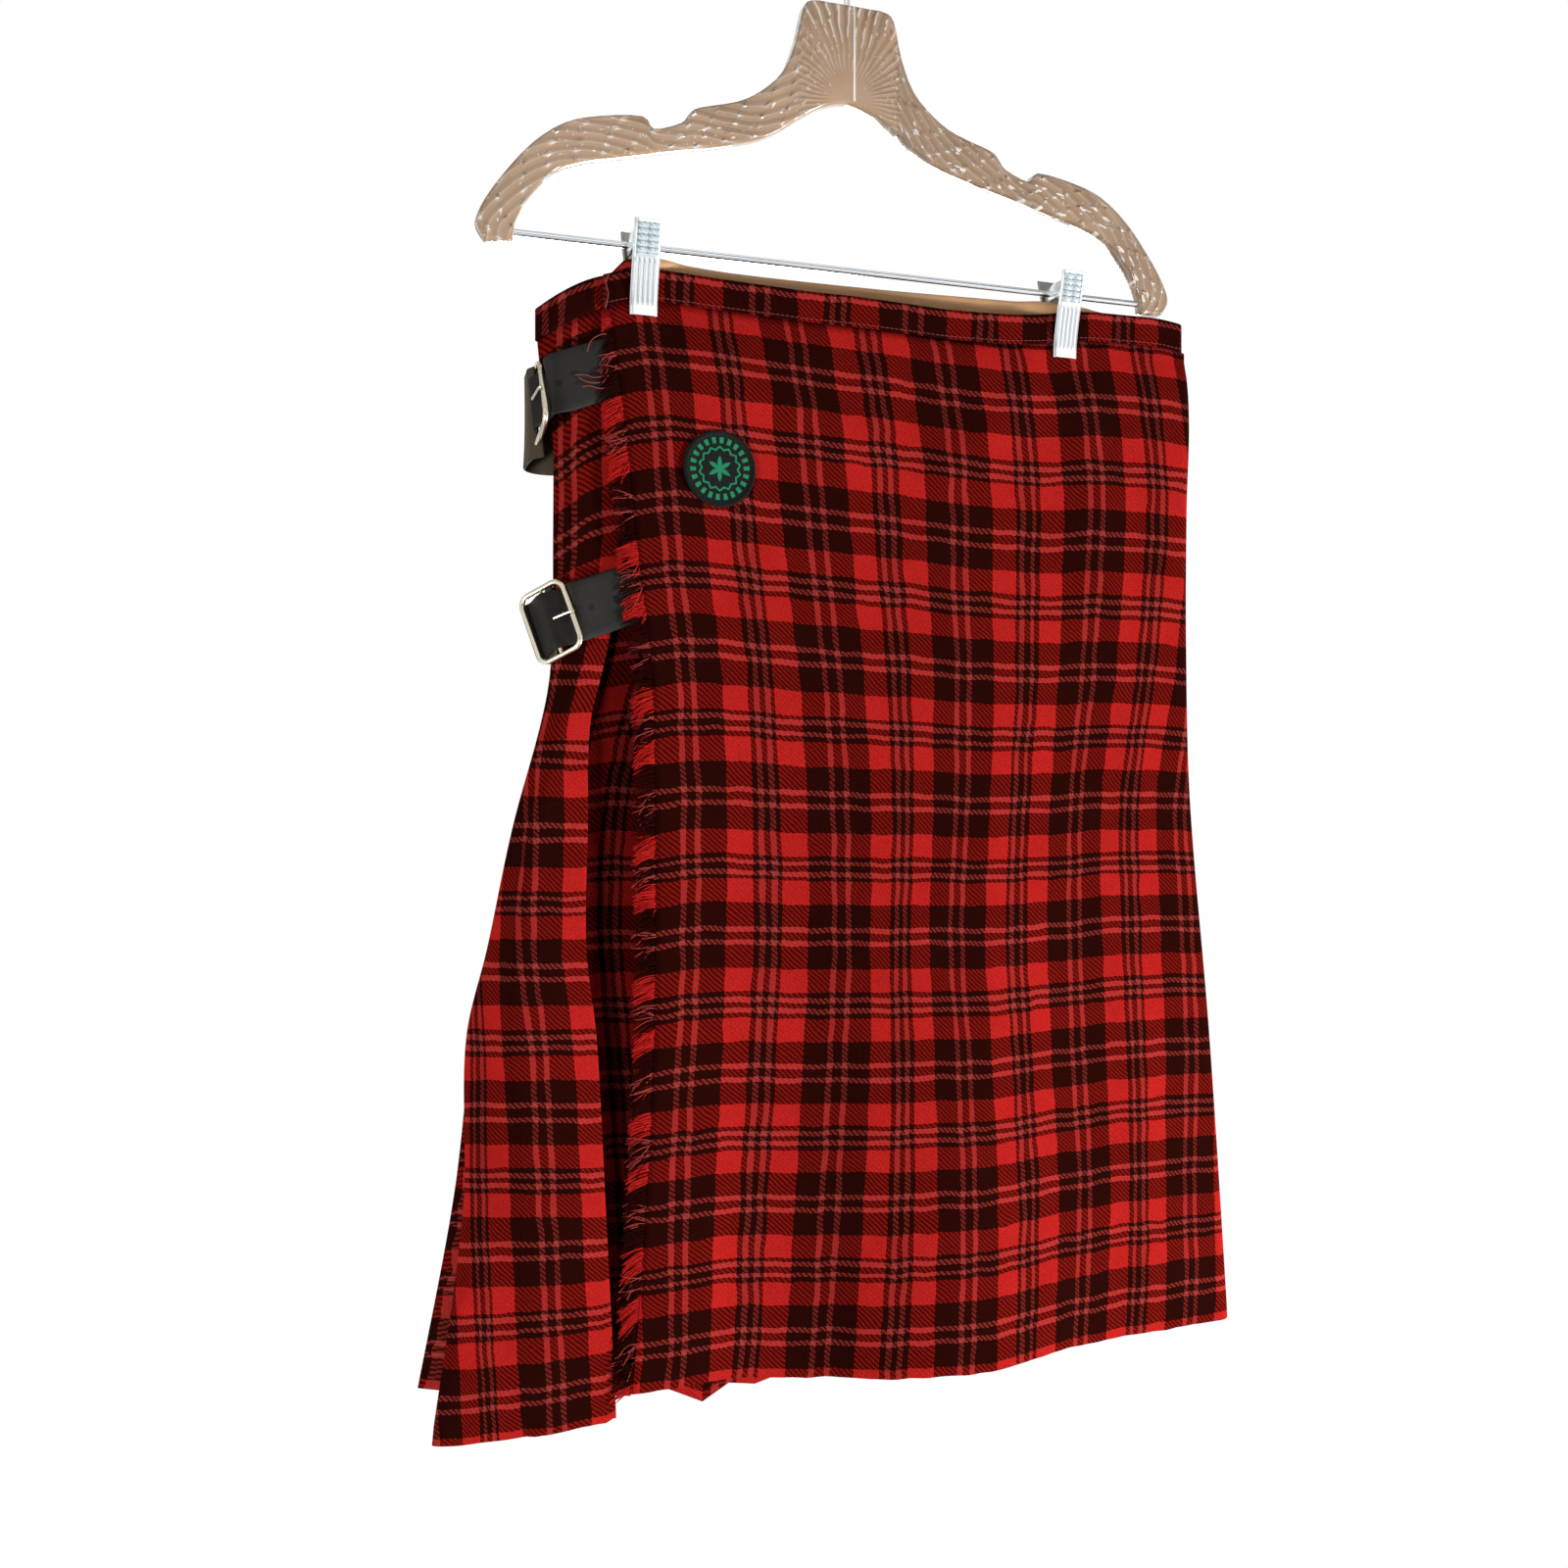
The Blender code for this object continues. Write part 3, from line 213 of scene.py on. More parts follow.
# threads that have worked loose at the front band's end, in millimetres
LOOSE_THREADS = [
    [(-147, -4.6, -231), (-149.5, -6.2, -236), (-148.2, -6.8, -243), (-149.8, -6.4, -251)],
    [(-150, -5.2, -288), (-156, -6.6, -290), (-162, -7.2, -289), (-167, -7.2, -290)],
    [(-150, -5.2, -291), (-155, -6.9, -293), (-160, -7.4, -293), (-165, -7.2, -291)],
    [(-149, -5.6, -295), (-154, -7.2, -296), (-159, -7.8, -295), (-163, -7.4, -296)],
    [(-149, -5.6, -265), (-153, -6.2, -266), (-158, -6.6, -270), (-160, -6.2, -276)],
]
# a strap's way through its buckle: place along the buckle and rise, in millimetres
THREADING = [(-15.0, 0), (-10.9, 0), (-6.0, 3.2), (-1.5, 6.3), (1.5, 6.3), (6.0, 3.2),
             (10.9, 0), (15.0, 0)]
UNDER_FRAME = -3.6                      # and how far out of the frame's middle
# plan of the back band's drooping end, in metres
BAND_TURN = [(-0.1475, -0.0007), (-0.154, -0.0008), (-0.162, -0.0008), (-0.173, 0.0004),
             (-0.1815, 0.0040), (-0.1848, 0.0100), (-0.1810, 0.0160), (-0.1700, 0.0162),
             (-0.1580, 0.0115), (-0.1460, 0.0050)]
# outline of half of the hanger, from its middle to its end
STATIONS = [
    Station(0, -57, 0, -114.3), Station(12, -57.2, 5, -115.2),
    Station(22, -57.5, 9, -116.2), Station(28.5, -62, 13, -117.6),
    Station(33.5, -83, 20, -120.6), Station(41.5, -102, 32, -128.3),
    Station(55, -115.3, 46, -138.3), Station(69.5, -123.6, 60, -144.6),
    Station(92, -130.2, 85, -151.6), Station(98, -134.5, 95, -153.7),
    Station(103, -140.5, 103, -155.4), Station(119, -146, 117, -158.7),
    Station(125.5, -139.8, 124, -160.6), Station(150, -143, 140, -164.6),
    Station(170, -149.5, 157, -168.8), Station(188, -163, 175, -176.5),
    Station(204, -182, 190.5, -194), Station(214, -197, 195, -202.3),
    Station(218, -206, 197.5, -208), Station(218, -212, 198.4, -213.5),
    Station(214, -218.5, 199, -218.5),
]
# middle lines of a clip's plates and outlines of their cheeks, in millimetres: Y and Z
FRONT_PLATE = [(-16, -201.5), (-15, -206.5), (-13.2, -213), (-10.6, -222.5),
               (-7.6, -234), (-5.6, -244), (-5.2, -252.3)]
BACK_PLATE = [(16, -200), (14, -206.5), (11, -215), (7, -224), (3.8, -230),
              (2.3, -233), (2.2, -235.4)]
FRONT_CHEEK = [(-14.4, -207.5), (-12.2, -216.4), (-3.0, -216.4), (2.6, -215.6),
               (3.7, -212.5), (2.4, -209.3), (-3.0, -207)]
BACK_CHEEK = [(13.2, -208), (10.3, -216.4), (3.0, -216.4), (-2.6, -215.6),
              (-3.7, -212.5), (-2.4, -209.3), (3.0, -207)]
BAND_END_Z = FRONT_TOP[0][1]            # the front band's top at its free end
BAND_MIDDLE_Z = FRONT_TOP[5][1]         # and near the kilt's middle
LEFT_X, RIGHT_X = FREE_EDGE[0][1], RIGHT_EDGE[0][1]     # the front band's two ends
BAR_Z = -0.2125                         # middle of the clip bar
GRIP_FROM, GRIP_TO = 0.04, 0.36         # knurled part of a clip's plate, by its length
GRIP_ROWS = 5
FLUTES_FROM, FLUTES_TO = 0.40, 0.90     # and its fluted part


# ---- numbers ------------------------------------------------------------
def mix(a: float, b: float, t: float) -> float:
    """The value a share t of the way from a to b."""
    return a + (b - a) * t


def smoothstep(t: float) -> float:
    """0 to 1 with soft ends, held outside."""
    t = min(max(t, 0.0), 1.0)
    return t * t * (3 - 2 * t)


def spread(a: float, b: float, count: int) -> list[float]:
    """Values from a to b in a number of even steps."""
    return [mix(a, b, k / count) for k in range(count + 1)]


def arc_points(x: float, y: float, radius: float, start: int, stop: int,
               step: int) -> list[tuple]:
    """Points on a circle about a middle, from one angle to another in degrees."""
    turns = [math.radians(angle) for angle in range(start, stop + 1, step)]
    return [(x + radius * math.cos(t), y + radius * math.sin(t)) for t in turns]


class Curve:
    """Smooth value through the points of a short table."""

    def __init__(self, points: Sequence[tuple[float, float]]) -> None:
        """Sorts the points and works out the slope at each."""
        ordered = sorted(points)
        self.keys = [p[0] for p in ordered]
        self.values = [p[1] for p in ordered]
        last = len(ordered) - 1
        self.slopes = []
        for i in range(last + 1):
            lo, hi = max(i - 1, 0), min(i + 1, last)
            rise = self.values[hi] - self.values[lo]
            self.slopes.append(rise / (self.keys[hi] - self.keys[lo]))

    def __call__(self, at: float) -> float:
        """The table's value at a key."""
        keys, values = self.keys, self.values
        if at <= keys[0]:
            return values[0]
        if at >= keys[-1]:
            return values[-1]
        i = bisect.bisect_right(keys, at) - 1
        span = keys[i + 1] - keys[i]
        t = (at - keys[i]) / span
        return (values[i] * (1 + 2 * t) * (1 - t) ** 2
                + self.slopes[i] * span * t * (1 - t) ** 2
                + values[i + 1] * t * t * (3 - 2 * t)
                + self.slopes[i + 1] * span * t * t * (t - 1))

    def onward(self, at: float) -> float:
        """The table's value, carried on in a straight line past its ends."""
        if at < self.keys[0]:
            return self.values[0] + (at - self.keys[0]) * self.slopes[0]
        if at > self.keys[-1]:
            return self.values[-1] + (at - self.keys[-1]) * self.slopes[-1]
        return self(at)


def soft_path(points: Sequence[Point], steps: int) -> list[tuple]:
    """Smooth path through points, with steps pieces between each pair."""
    path = []
    last = len(points) - 1
    for i in range(last):
        p0, p1 = points[max(i - 1, 0)], points[i]
        p2, p3 = points[i + 1], points[min(i + 2, last)]
        for k in range(steps):
            t = k / steps
            path.append(tuple(
                0.5 * (2 * p1[n] + (p2[n] - p0[n]) * t
                       + (2 * p0[n] - 5 * p1[n] + 4 * p2[n] - p3[n]) * t * t
                       + (3 * p1[n] - p0[n] - 3 * p2[n] + p3[n]) * t ** 3)
                for n in range(len(p1))))
    path.append(tuple(points[-1]))
    return path


def run_lengths(path: Sequence[Point]) -> list[float]:
    """Length along a path at each of its points."""
    lengths = [0.0]
    for a, b in zip(path, path[1:]):
        lengths.append(lengths[-1] + math.dist(a, b))
    return lengths


def plan_lengths(path: Sequence[Point]) -> list[float]:
    """Length along a path in plan, whatever its points hold past their place."""
    return run_lengths([p[:2] for p in path])


def placed(x: float, y: float, z: float) -> Vector:
    """A point in the kilt's own X, moved to the hanger's frame."""
    return Vector((x + SHIFT_X, y, z))


CORNER_SHARE = 0.36         # how much of a run its softened corner may take up


def rounded_corners(path: Sequence[Point], reach: float) -> list[tuple]:
    """A plan path whose corners are softened within a short reach of each."""
    made = [tuple(path[0])]
    for before, corner, after in zip(path, path[1:], path[2:]):
        c = Vector(corner)
        ends = [Vector(end) - c for end in (before, after)]
        near_a, near_b = [c + away.normalized() * min(reach, away.length * CORNER_SHARE)
                          for away in ends]
        made += [tuple(near_a), tuple((near_a + 2 * c + near_b) / 4), tuple(near_b)]
    made.append(tuple(path[-1]))
    return made


def split_runs(path: Sequence[Point], pattern: Callable[[int], tuple]) -> list[tuple]:
    """A path whose runs are split, each bowing to its right by a share of its length.

    Args:
        path: points whose first two values are their place in plan.
        pattern: gives how many pieces a run is split into, and its bow, by its number.

    Returns:
        The points, with the values past the first two taken evenly along each run.
    """
    made = []
    for number, (a, b) in enumerate(zip(path, path[1:])):
        pieces, belly = pattern(number)
        run = (b[0] - a[0], b[1] - a[1])
        for k in range(pieces):
            t = k / pieces
            bow = belly * 4 * t * (1 - t)
            rest = [mix(p, q, t) for p, q in zip(a[2:], b[2:])]
            made.append((mix(a[0], b[0], t) + run[1] * bow,
                         mix(a[1], b[1], t) - run[0] * bow, *rest))
    made.append(tuple(path[-1]))
    return made


def pleat_run(number: int) -> tuple[int, float]:
    """How a run of the pleats' plan is split: rounded folds and bowed faces."""
    return {1: (4, -0.5), 2: (5, -0.022), 4: (3, 0.5)}.get(number % 5, (1, 0.0))


# ---- the kilt's form ----------------------------------------------------
@dataclass(frozen=True)
class KiltSizes:
    """Driving sizes of the kilt."""

    clearance: float = 0.0003
    band_height: float = 0.0185
    hem_z: float = -0.858
    pleats: int = 15
    seam_pleat: int = 8
    pleat_depth_share: float = 0.55
    cloth_wall: float = 0.0012
    pleat_wall: float = 0.0010
    clips: tuple[float, float] = (-0.1274, 0.1415)
    clip_width: float = 0.0165
    clip_ease: float = 0.022
    under_apron_end: float = 0.165
    waist_y: float = -0.0034
    fuller: float = -0.0024
    deepest_crease: float = 0.0004
    turn_radii: tuple[float, float] = (0.0048, 0.0110)
    back_depths: tuple[float, float] = (0.0056, 0.0210)
    back_bow: float = 0.004
    pleat_gaps: tuple[float, float] = (0.00135, 0.0026)
    last_fold_inset: float = 0.032
    under_gaps: tuple[float, float] = (0.0018, 0.0095)
    fold_softness: float = 0.0007


class KiltForm:
    """Middle surfaces of the hung cloth, by the kilt's own X and height."""

    def __init__(self, sizes: KiltSizes) -> None:
        """Reads the tables into curves."""
        self.sizes = sizes
        self.free_edge, self.right_edge = Curve(FREE_EDGE), Curve(RIGHT_EDGE)
        self.hem_folds, self.front_hem = Curve(HEM_FOLDS), Curve(FRONT_HEM)
        self.front_top, self.back_top = Curve(FRONT_TOP), Curve(BACK_TOP)
        self.left_top = Curve(LEFT_TOP)
        self.side_curves = {
            name: Curve([(row.z, getattr(row, name)) for row in SIDE])
            for name in Side._fields[1:]}

    def side(self, name: str, z: float) -> float:
        """Value of the side pleat's table at a height."""
        return self.side_curves[name](z / MM) * MM

    def side_point(self, name: str, z: float) -> tuple[float, float]:
        """Point of the side pleat's plan at a height."""
        return self.side(f"{name}_x", z), self.side(f"{name}_y", z)

    def drop_share(self, z: float) -> float:
        """0 just under the waistband, 1 at the hem."""
        top = BAND_END_Z - self.sizes.band_height
        return min(max((top - z) / (top - self.sizes.hem_z), 0.0), 1.0)

    def clip_pinch(self, x: float) -> float:
        """1 where a clip holds the waist, 0 away from both."""
        sizes = self.sizes
        near = min(abs(x - c) for c in sizes.clips)
        return 1 - smoothstep((near - sizes.clip_width * 0.55) / sizes.clip_ease)

    def front_y(self, x: float, z: float) -> float:
        """Middle of the over apron's wall, before its small creases."""
        share, waist_y = self.drop_share(z), self.sizes.waist_y
        held = self.clip_pinch(x) * (1 - smoothstep((-0.264 - z) / 0.020))
        fuller = self.sizes.fuller * smoothstep(share / 0.02) * (1 - held)
        hem_y = self.hem_folds(x / MM) * MM
        return waist_y + fuller + (hem_y - waist_y - fuller) * share ** 1.6

    def front_relief(self, x: float, z: float) -> float:
        """Small creases of the front, positive towards the viewer."""
        lift = 0.0
        px, pz = x / MM, z / MM
        for c in CREASES:
            dx, dz = c.x1 - c.x0, c.z1 - c.z0
            length = math.hypot(dx, dz)
            along = ((px - c.x0) * dx + (pz - c.z0) * dz) / length ** 2
            off = ((px - c.x0) * dz - (pz - c.z0) * dx) / length
            ends = smoothstep((along + 0.25) / 0.45) * smoothstep((1.25 - along) / 0.45)
            lift += c.lift * ends * math.exp(-(off / c.width) ** 2)
        ripple = noise.noise(Vector((px / 46, pz / 90, 3.1))) * 0.9
        ripple += noise.noise(Vector((px / 17, pz / 32, 8.7))) * 0.25
        held = smoothstep((-0.250 - z) / 0.030)
        relief = (lift * 1.5 + ripple) * MM * held
        return max(relief, -self.sizes.deepest_crease)

    def wrap_radius(self, z: float) -> float:
        """Radius of the turn at the left hip."""
        return mix(*self.sizes.turn_radii, self.drop_share(z) ** 1.3)

    def back_y(self, x: float, z: float) -> float:
        """Outer layer of the pleated back."""
        share = self.drop_share(z)
        plain = mix(*self.sizes.back_depths, share ** 1.2)
        middle = min(max((x + 0.13) / 0.27, 0.0), 1.0)
        bow = self.sizes.back_bow * math.sin(math.pi * middle)
        ease = 1 - smoothstep((x - self.side("first_x", z)) / mix(0.085, 0.105, share))
        right_x = self.right_edge(z)
        base = mix(plain + bow * (1 - share),
                   self.front_y(right_x, z) + 2 * self.wrap_radius(z),
                   smoothstep((x - right_x + 0.10) / 0.08))
        return mix(base, self.side("first_y", z), ease)

    def pleat_gap(self, z: float) -> float:
        """Distance between two layers of a pleat."""
        return mix(*self.sizes.pleat_gaps, self.drop_share(z))

    def layer(self, x: float, z: float, inward: int) -> tuple[float, float]:
        """Plan point of the back, a number of layers inward of its outermost."""
        return x, self.back_y(x, z) - inward * self.pleat_gap(z)

    def pleat_edges(self, z: float) -> list[float]:
        """X of the back pleats' folds, the last one being the over apron's."""
        count = self.sizes.pleats
        start = self.side("first_x", z)
        stop = self.right_edge(z) - self.sizes.last_fold_inset
        return [mix(start, stop, i / count) for i in range(count + 1)]

    def pleat_depth(self, z: float) -> float:
        """Hidden depth of a pleat."""
        edges = self.pleat_edges(z)
        return self.sizes.pleat_depth_share * (edges[1] - edges[0])

    def band_end_top(self, x: float, y: float) -> float:
        """Top edge of the waistband's drooping end, on its front or its back."""
        return mix(self.left_top(x), self.back_top(x), smoothstep((y - 0.004) / 0.010))

    def over_apron_plan(self, z: float, columns: int) -> list[tuple]:
        """Plan from the free edge, round the left hip to the last fold."""
        radius = self.wrap_radius(z)
        bend = self.right_edge(z) - radius
        points = [(x, self.front_y(x, z))
                  for x in spread(self.free_edge(z), bend, columns)]
        middle = self.front_y(bend, z) + radius
        points += arc_points(bend, middle, radius, -75, 75, 15)
        fold = self.pleat_edges(z)[-1]
        inner = fold + self.pleat_depth(z)
        gap = self.pleat_gap(z)
        apart = max(gap, self.sizes.cloth_wall + 0.0004)
        lift = 2 * (apart - gap)
        tail = [(x, self.back_y(x, z) + lift) for x in spread(bend, fold, 4)]
        for x, inward in ((fold, 2), (inner, 4)):
            tail.append((x, self.layer(x, z, inward)[1] + apart))
        return points + rounded_corners(tail, self.sizes.fold_softness)

    def side_pleat_plan(self, z: float, steps: int) -> list[tuple]:
        """Plan from the deep fold, out to the visible fold, round the right hip."""
        face = [self.side_point(name, z)
                for name in ("fold", "ridge", "valley", "turn", "inner")]
        x, y = face[0]
        gap, deep = self.side("under_gap", z), self.side("deep_x", z)
        hidden = [(deep + 0.002, 2), (deep, 1.9), (deep, 1.1), (x - 0.010, 1), (x, 0.9)]
        points = [(at, y + layers * gap) for at, layers in hidden]
        return points + soft_path(face, steps)

    def under_apron_plan(self, z: float, columns: int) -> list[tuple]:
        """Plan of the layer under the over apron."""
        fold_x, fold_y = self.side_point("fold", z)
        left = self.side("deep_x", z) + 0.002 + self.sizes.clearance
        share = self.drop_share(z)
        near = fold_y + 2 * self.side("under_gap", z)
        points = []
        for x in spread(left, self.sizes.under_apron_end, columns):
            front = self.front_y(x, z) + mix(*self.sizes.under_gaps, share)
            ease = smoothstep((x - fold_x - 0.003) / mix(0.024, 0.060, share))
            points.append((x, mix(near, front, ease)))
        return points

    def pleat_plan(self, z: float, first: int, last: int) -> list[tuple]:
        """Plan of the knife pleats, softened at the folds, from first up to last."""
        edges, depth = self.pleat_edges(z), self.pleat_depth(z)
        if first == 0:
            x, y = self.side_point("inner", z)
            lead = (x + 0.001, y + self.sizes.pleat_wall + self.sizes.clearance)
        else:
            x, y = self.layer(edges[first] + depth, z, 3)
            lead = (x - 0.001, y + self.sizes.clearance)
        points = [lead, self.layer(edges[first], z, 1)]
        for i in range(first, last):
            beyond = edges[i + 1]
            hidden = beyond + depth
            points += [self.layer(edges[i], z, 0), self.layer(beyond, z, 2),
                       self.layer(hidden, z, 4)]
            if i < last - 1:
                points += [self.layer(hidden, z, 3), self.layer(beyond, z, 1)]
        return points


class Levels:
    """A plan worked out at even heights and read between them."""

    def __init__(self, plan: Callable[[float], list], high: float, low: float,
                 count: int) -> None:
        """Works out the plan at every level."""
        self.high, self.low, self.count = high, low, count
        self.plans = [plan(z) for z in spread(high, low, count)]

    def point(self, column: int, z: float) -> tuple[float, float]:
        """The plan's point of a column at a height."""
        place = min(max((z - self.high) / (self.low - self.high), 0.0), 0.999999)
        k = int(place * self.count)
        t = place * self.count - k
        a, b = self.plans[k][column], self.plans[k + 1][column]
        return mix(a[0], b[0], t), mix(a[1], b[1], t)

    def rows(self, edges: Sequence[tuple[float, float]], count: int) -> Rows:
        """Rows of points of a cloth that hangs between two edges.

        Args:
            edges: heights of its top edge and its hem, by column.
            count: how many rows of faces it has.

        Returns:
            The rows, from the top down.
        """
        made = []
        for j in range(count + 1):
            heights = [mix(top, hem, j / count) for top, hem in edges]
            made.append([(*self.point(c, z), z) for c, z in enumerate(heights)])
        return made


# ---- shader arithmetic --------------------------------------------------
class Sock:
    """A shader socket that takes part in arithmetic."""

    def __init__(self, graph: "Nodes", socket: Any) -> None:
        """Keeps the socket and the tree that it belongs to."""
        self.graph = graph
        self.socket = socket

    def op(self, operation: str, *others: Any) -> "Sock":
        """A Math node of this value and others."""
        values = dict(enumerate((self, *others)))
        return self.graph.node("ShaderNodeMath", {"operation": operation}, values)

    __add__ = __radd__ = partialmethod(op, "ADD")
    __mul__ = __rmul__ = partialmethod(op, "MULTIPLY")
    __sub__ = partialmethod(op, "SUBTRACT")
    __truediv__ = partialmethod(op, "DIVIDE")
    __pow__ = partialmethod(op, "POWER")
    __abs__ = partialmethod(op, "ABSOLUTE")
    __lt__ = partialmethod(op, "LESS_THAN")
    __gt__ = partialmethod(op, "GREATER_THAN")
    floor = partialmethod(op, "FLOOR")
    fract = partialmethod(op, "FRACT")
    root = partialmethod(op, "SQRT")
    at_most = partialmethod(op, "MINIMUM")
    at_least = partialmethod(op, "MAXIMUM")
    arctan = partialmethod(op, "ARCTAN2")

    def __rsub__(self, other: Any) -> "Sock":
        return (self * -1.0) + other

    def wave(self) -> "Sock":
        """0 at whole numbers, 1 half way between, with straight sides."""
        return self.op("PINGPONG", 0.5) * 2.0


class Nodes:
    """A tree of shader nodes."""

    def __init__(self, tree: bpy.types.NodeTree, output: str) -> None:
        """Empties the tree and gives it its output."""
        self.tree = tree
        self.tree.nodes.clear()
        self.out = self.tree.nodes.new(output)

    def node(self, kind: str, settings: Optional[dict] = None,
             inputs: Optional[dict] = None, output: Any = 0) -> Sock:
        """Adds any node.

        Args:
            kind: the node's type.
            settings: its properties, set first.
            inputs: values or sockets by the input's name or number.
            output: name or number of the output that is wanted.

        Returns:
            The wanted output.
        """
        made = self.tree.nodes.new(kind)
        for key, value in (settings or {}).items():
            setattr(made, key, value)
        for key, value in (inputs or {}).items():
            if isinstance(value, Sock):
                self.tree.links.new(value.socket, made.inputs[key])
            else:
                made.inputs[key].default_value = value
        return Sock(self, made.outputs[output])

    def parts(self, kind: str, source: Sock) -> list[Sock]:
        """The parts of a vector or colour, by a node that separates it."""
        first = self.node(kind, None, {0: source})
        return [Sock(self, output) for output in first.socket.node.outputs]

    def show(self, surface: Sock) -> None:
        """Leads a shader to the tree's output."""
        self.tree.links.new(surface.socket, self.out.inputs["Surface"])


class Graph(Nodes):
    """One material's nodes."""

    def __init__(self, name: str) -> None:
        """Starts an empty material."""
        self.material = bpy.data.materials.new(name)
        self.material.use_nodes = True
        super().__init__(self.material.node_tree, "ShaderNodeOutputMaterial")

    def blend(self, a: Any, b: Any, share: Any, kind: str = "MIX") -> Sock:
        """A Mix node of two colours."""
        colours = [c if isinstance(c, Sock) else (*c, 1.0) for c in (a, b)]
        return self.node("ShaderNodeMix", {"data_type": "RGBA", "blend_type": kind},
                         {"Factor": share, 6: colours[0], 7: colours[1]}, 2)

    def toned(self, colour: Any, tone: Sock) -> Sock:
        """A colour made darker or lighter by a value."""
        grey = self.node("ShaderNodeCombineColor", None, {0: tone, 1: tone, 2: tone})
        return self.blend(colour, grey, 1.0, "MULTIPLY")

    def steps(self, stops: Sequence[tuple], at: Sock) -> Sock:
        """A stepped colour ramp of places and colours."""
        ramp = self.node("ShaderNodeValToRGB", None, {"Fac": at})
        table = ramp.socket.node.color_ramp
        table.interpolation = "CONSTANT"
        while len(table.elements) < len(stops):
            table.elements.new(0.5)
        for element, (place, colour) in zip(table.elements, stops):
            element.position = place
            element.color = (*colour, 1.0)
        return ramp

    def weave_uv(self) -> list[Sock]:
        """The piece's own coordinates along and across, in metres."""
        uv = self.node("ShaderNodeUVMap", {"uv_map": WEAVE})
        return self.parts("ShaderNodeSeparateXYZ", uv)[:2]

    def place(self) -> Sock:
        """Object coordinates."""
        return self.node("ShaderNodeTexCoord", None, None, "Object")

    def noise(self, scale: float, detail: float = 2.0, at: Optional[Sock] = None) -> Sock:
        """Noise from 0 to 1 with features of 1 / scale metres."""
        where = at if at else self.place()
        return self.node("ShaderNodeTexNoise", None,
                         {"Vector": where, "Scale": scale, "Detail": detail}, "Fac")

    def bump(self, height: Sock, distance: float, strength: float) -> Sock:
        """A Bump node."""
        return self.node("ShaderNodeBump", None,
                         {"Height": height, "Distance": distance,
                          "Strength": strength}, "Normal")

    def finish(self, base: Sock, roughness: Any, normal: Optional[Sock] = None,
               **fixed: Any) -> Material:
        """Adds the surface shader and returns the material.

        Args:
            base: the colour's socket.
            roughness: value or socket.
            normal: a Bump node's output.
            fixed: other inputs, with underscores for spaces.

        Returns:
            The finished material.
        """
        inputs = {"Base Color": base, "Roughness": roughness}
        if normal:
            inputs["Normal"] = normal
        for key, value in fixed.items():
            inputs[key.replace("_", " ")] = value
        self.show(self.node("ShaderNodeBsdfPrincipled", None, inputs))
        return self.material


# ---- finishes -----------------------------------------------------------
class Yarn(Enum):
    """Yarns of the sett: how dark, and whether it is a thin light line."""

    BLACK = (1.0, 0.0, 0.0)
    RED = (0.0, 0.0, 0.0)
    LINE = (0.0, 1.0, 0.0)


# the sett from the middle of one dark pair to the next, millimetres
SETT_BANDS = [(Yarn.BLACK, 2.4), (Yarn.LINE, 3.0), (Yarn.BLACK, 13.5), (Yarn.RED, 13.5),
              (Yarn.BLACK, 2.8), (Yarn.LINE, 2.9), (Yarn.BLACK, 3.4), (Yarn.LINE, 2.9),
              (Yarn.BLACK, 2.8), (Yarn.RED, 13.5), (Yarn.BLACK, 13.5),
              (Yarn.LINE, 3.0), (Yarn.BLACK, 2.4)]
SETT_WHOLE = sum(width for _, width in SETT_BANDS)
# colours of the sewing threads, by the name of their finish
THREADS = {"red_thread": (0.200, 0.035, 0.030), "waxed_thread": (0.060, 0.045, 0.030),
           "black_thread": (0.010, 0.011, 0.010)}


def sett_stops() -> list[tuple]:
    """The sett as the stops of a stepped ramp."""
    stops, at = [], 0.0
    for yarn, width in SETT_BANDS:
        stops.append((at / SETT_WHOLE, yarn.value))
        at += width
    return stops


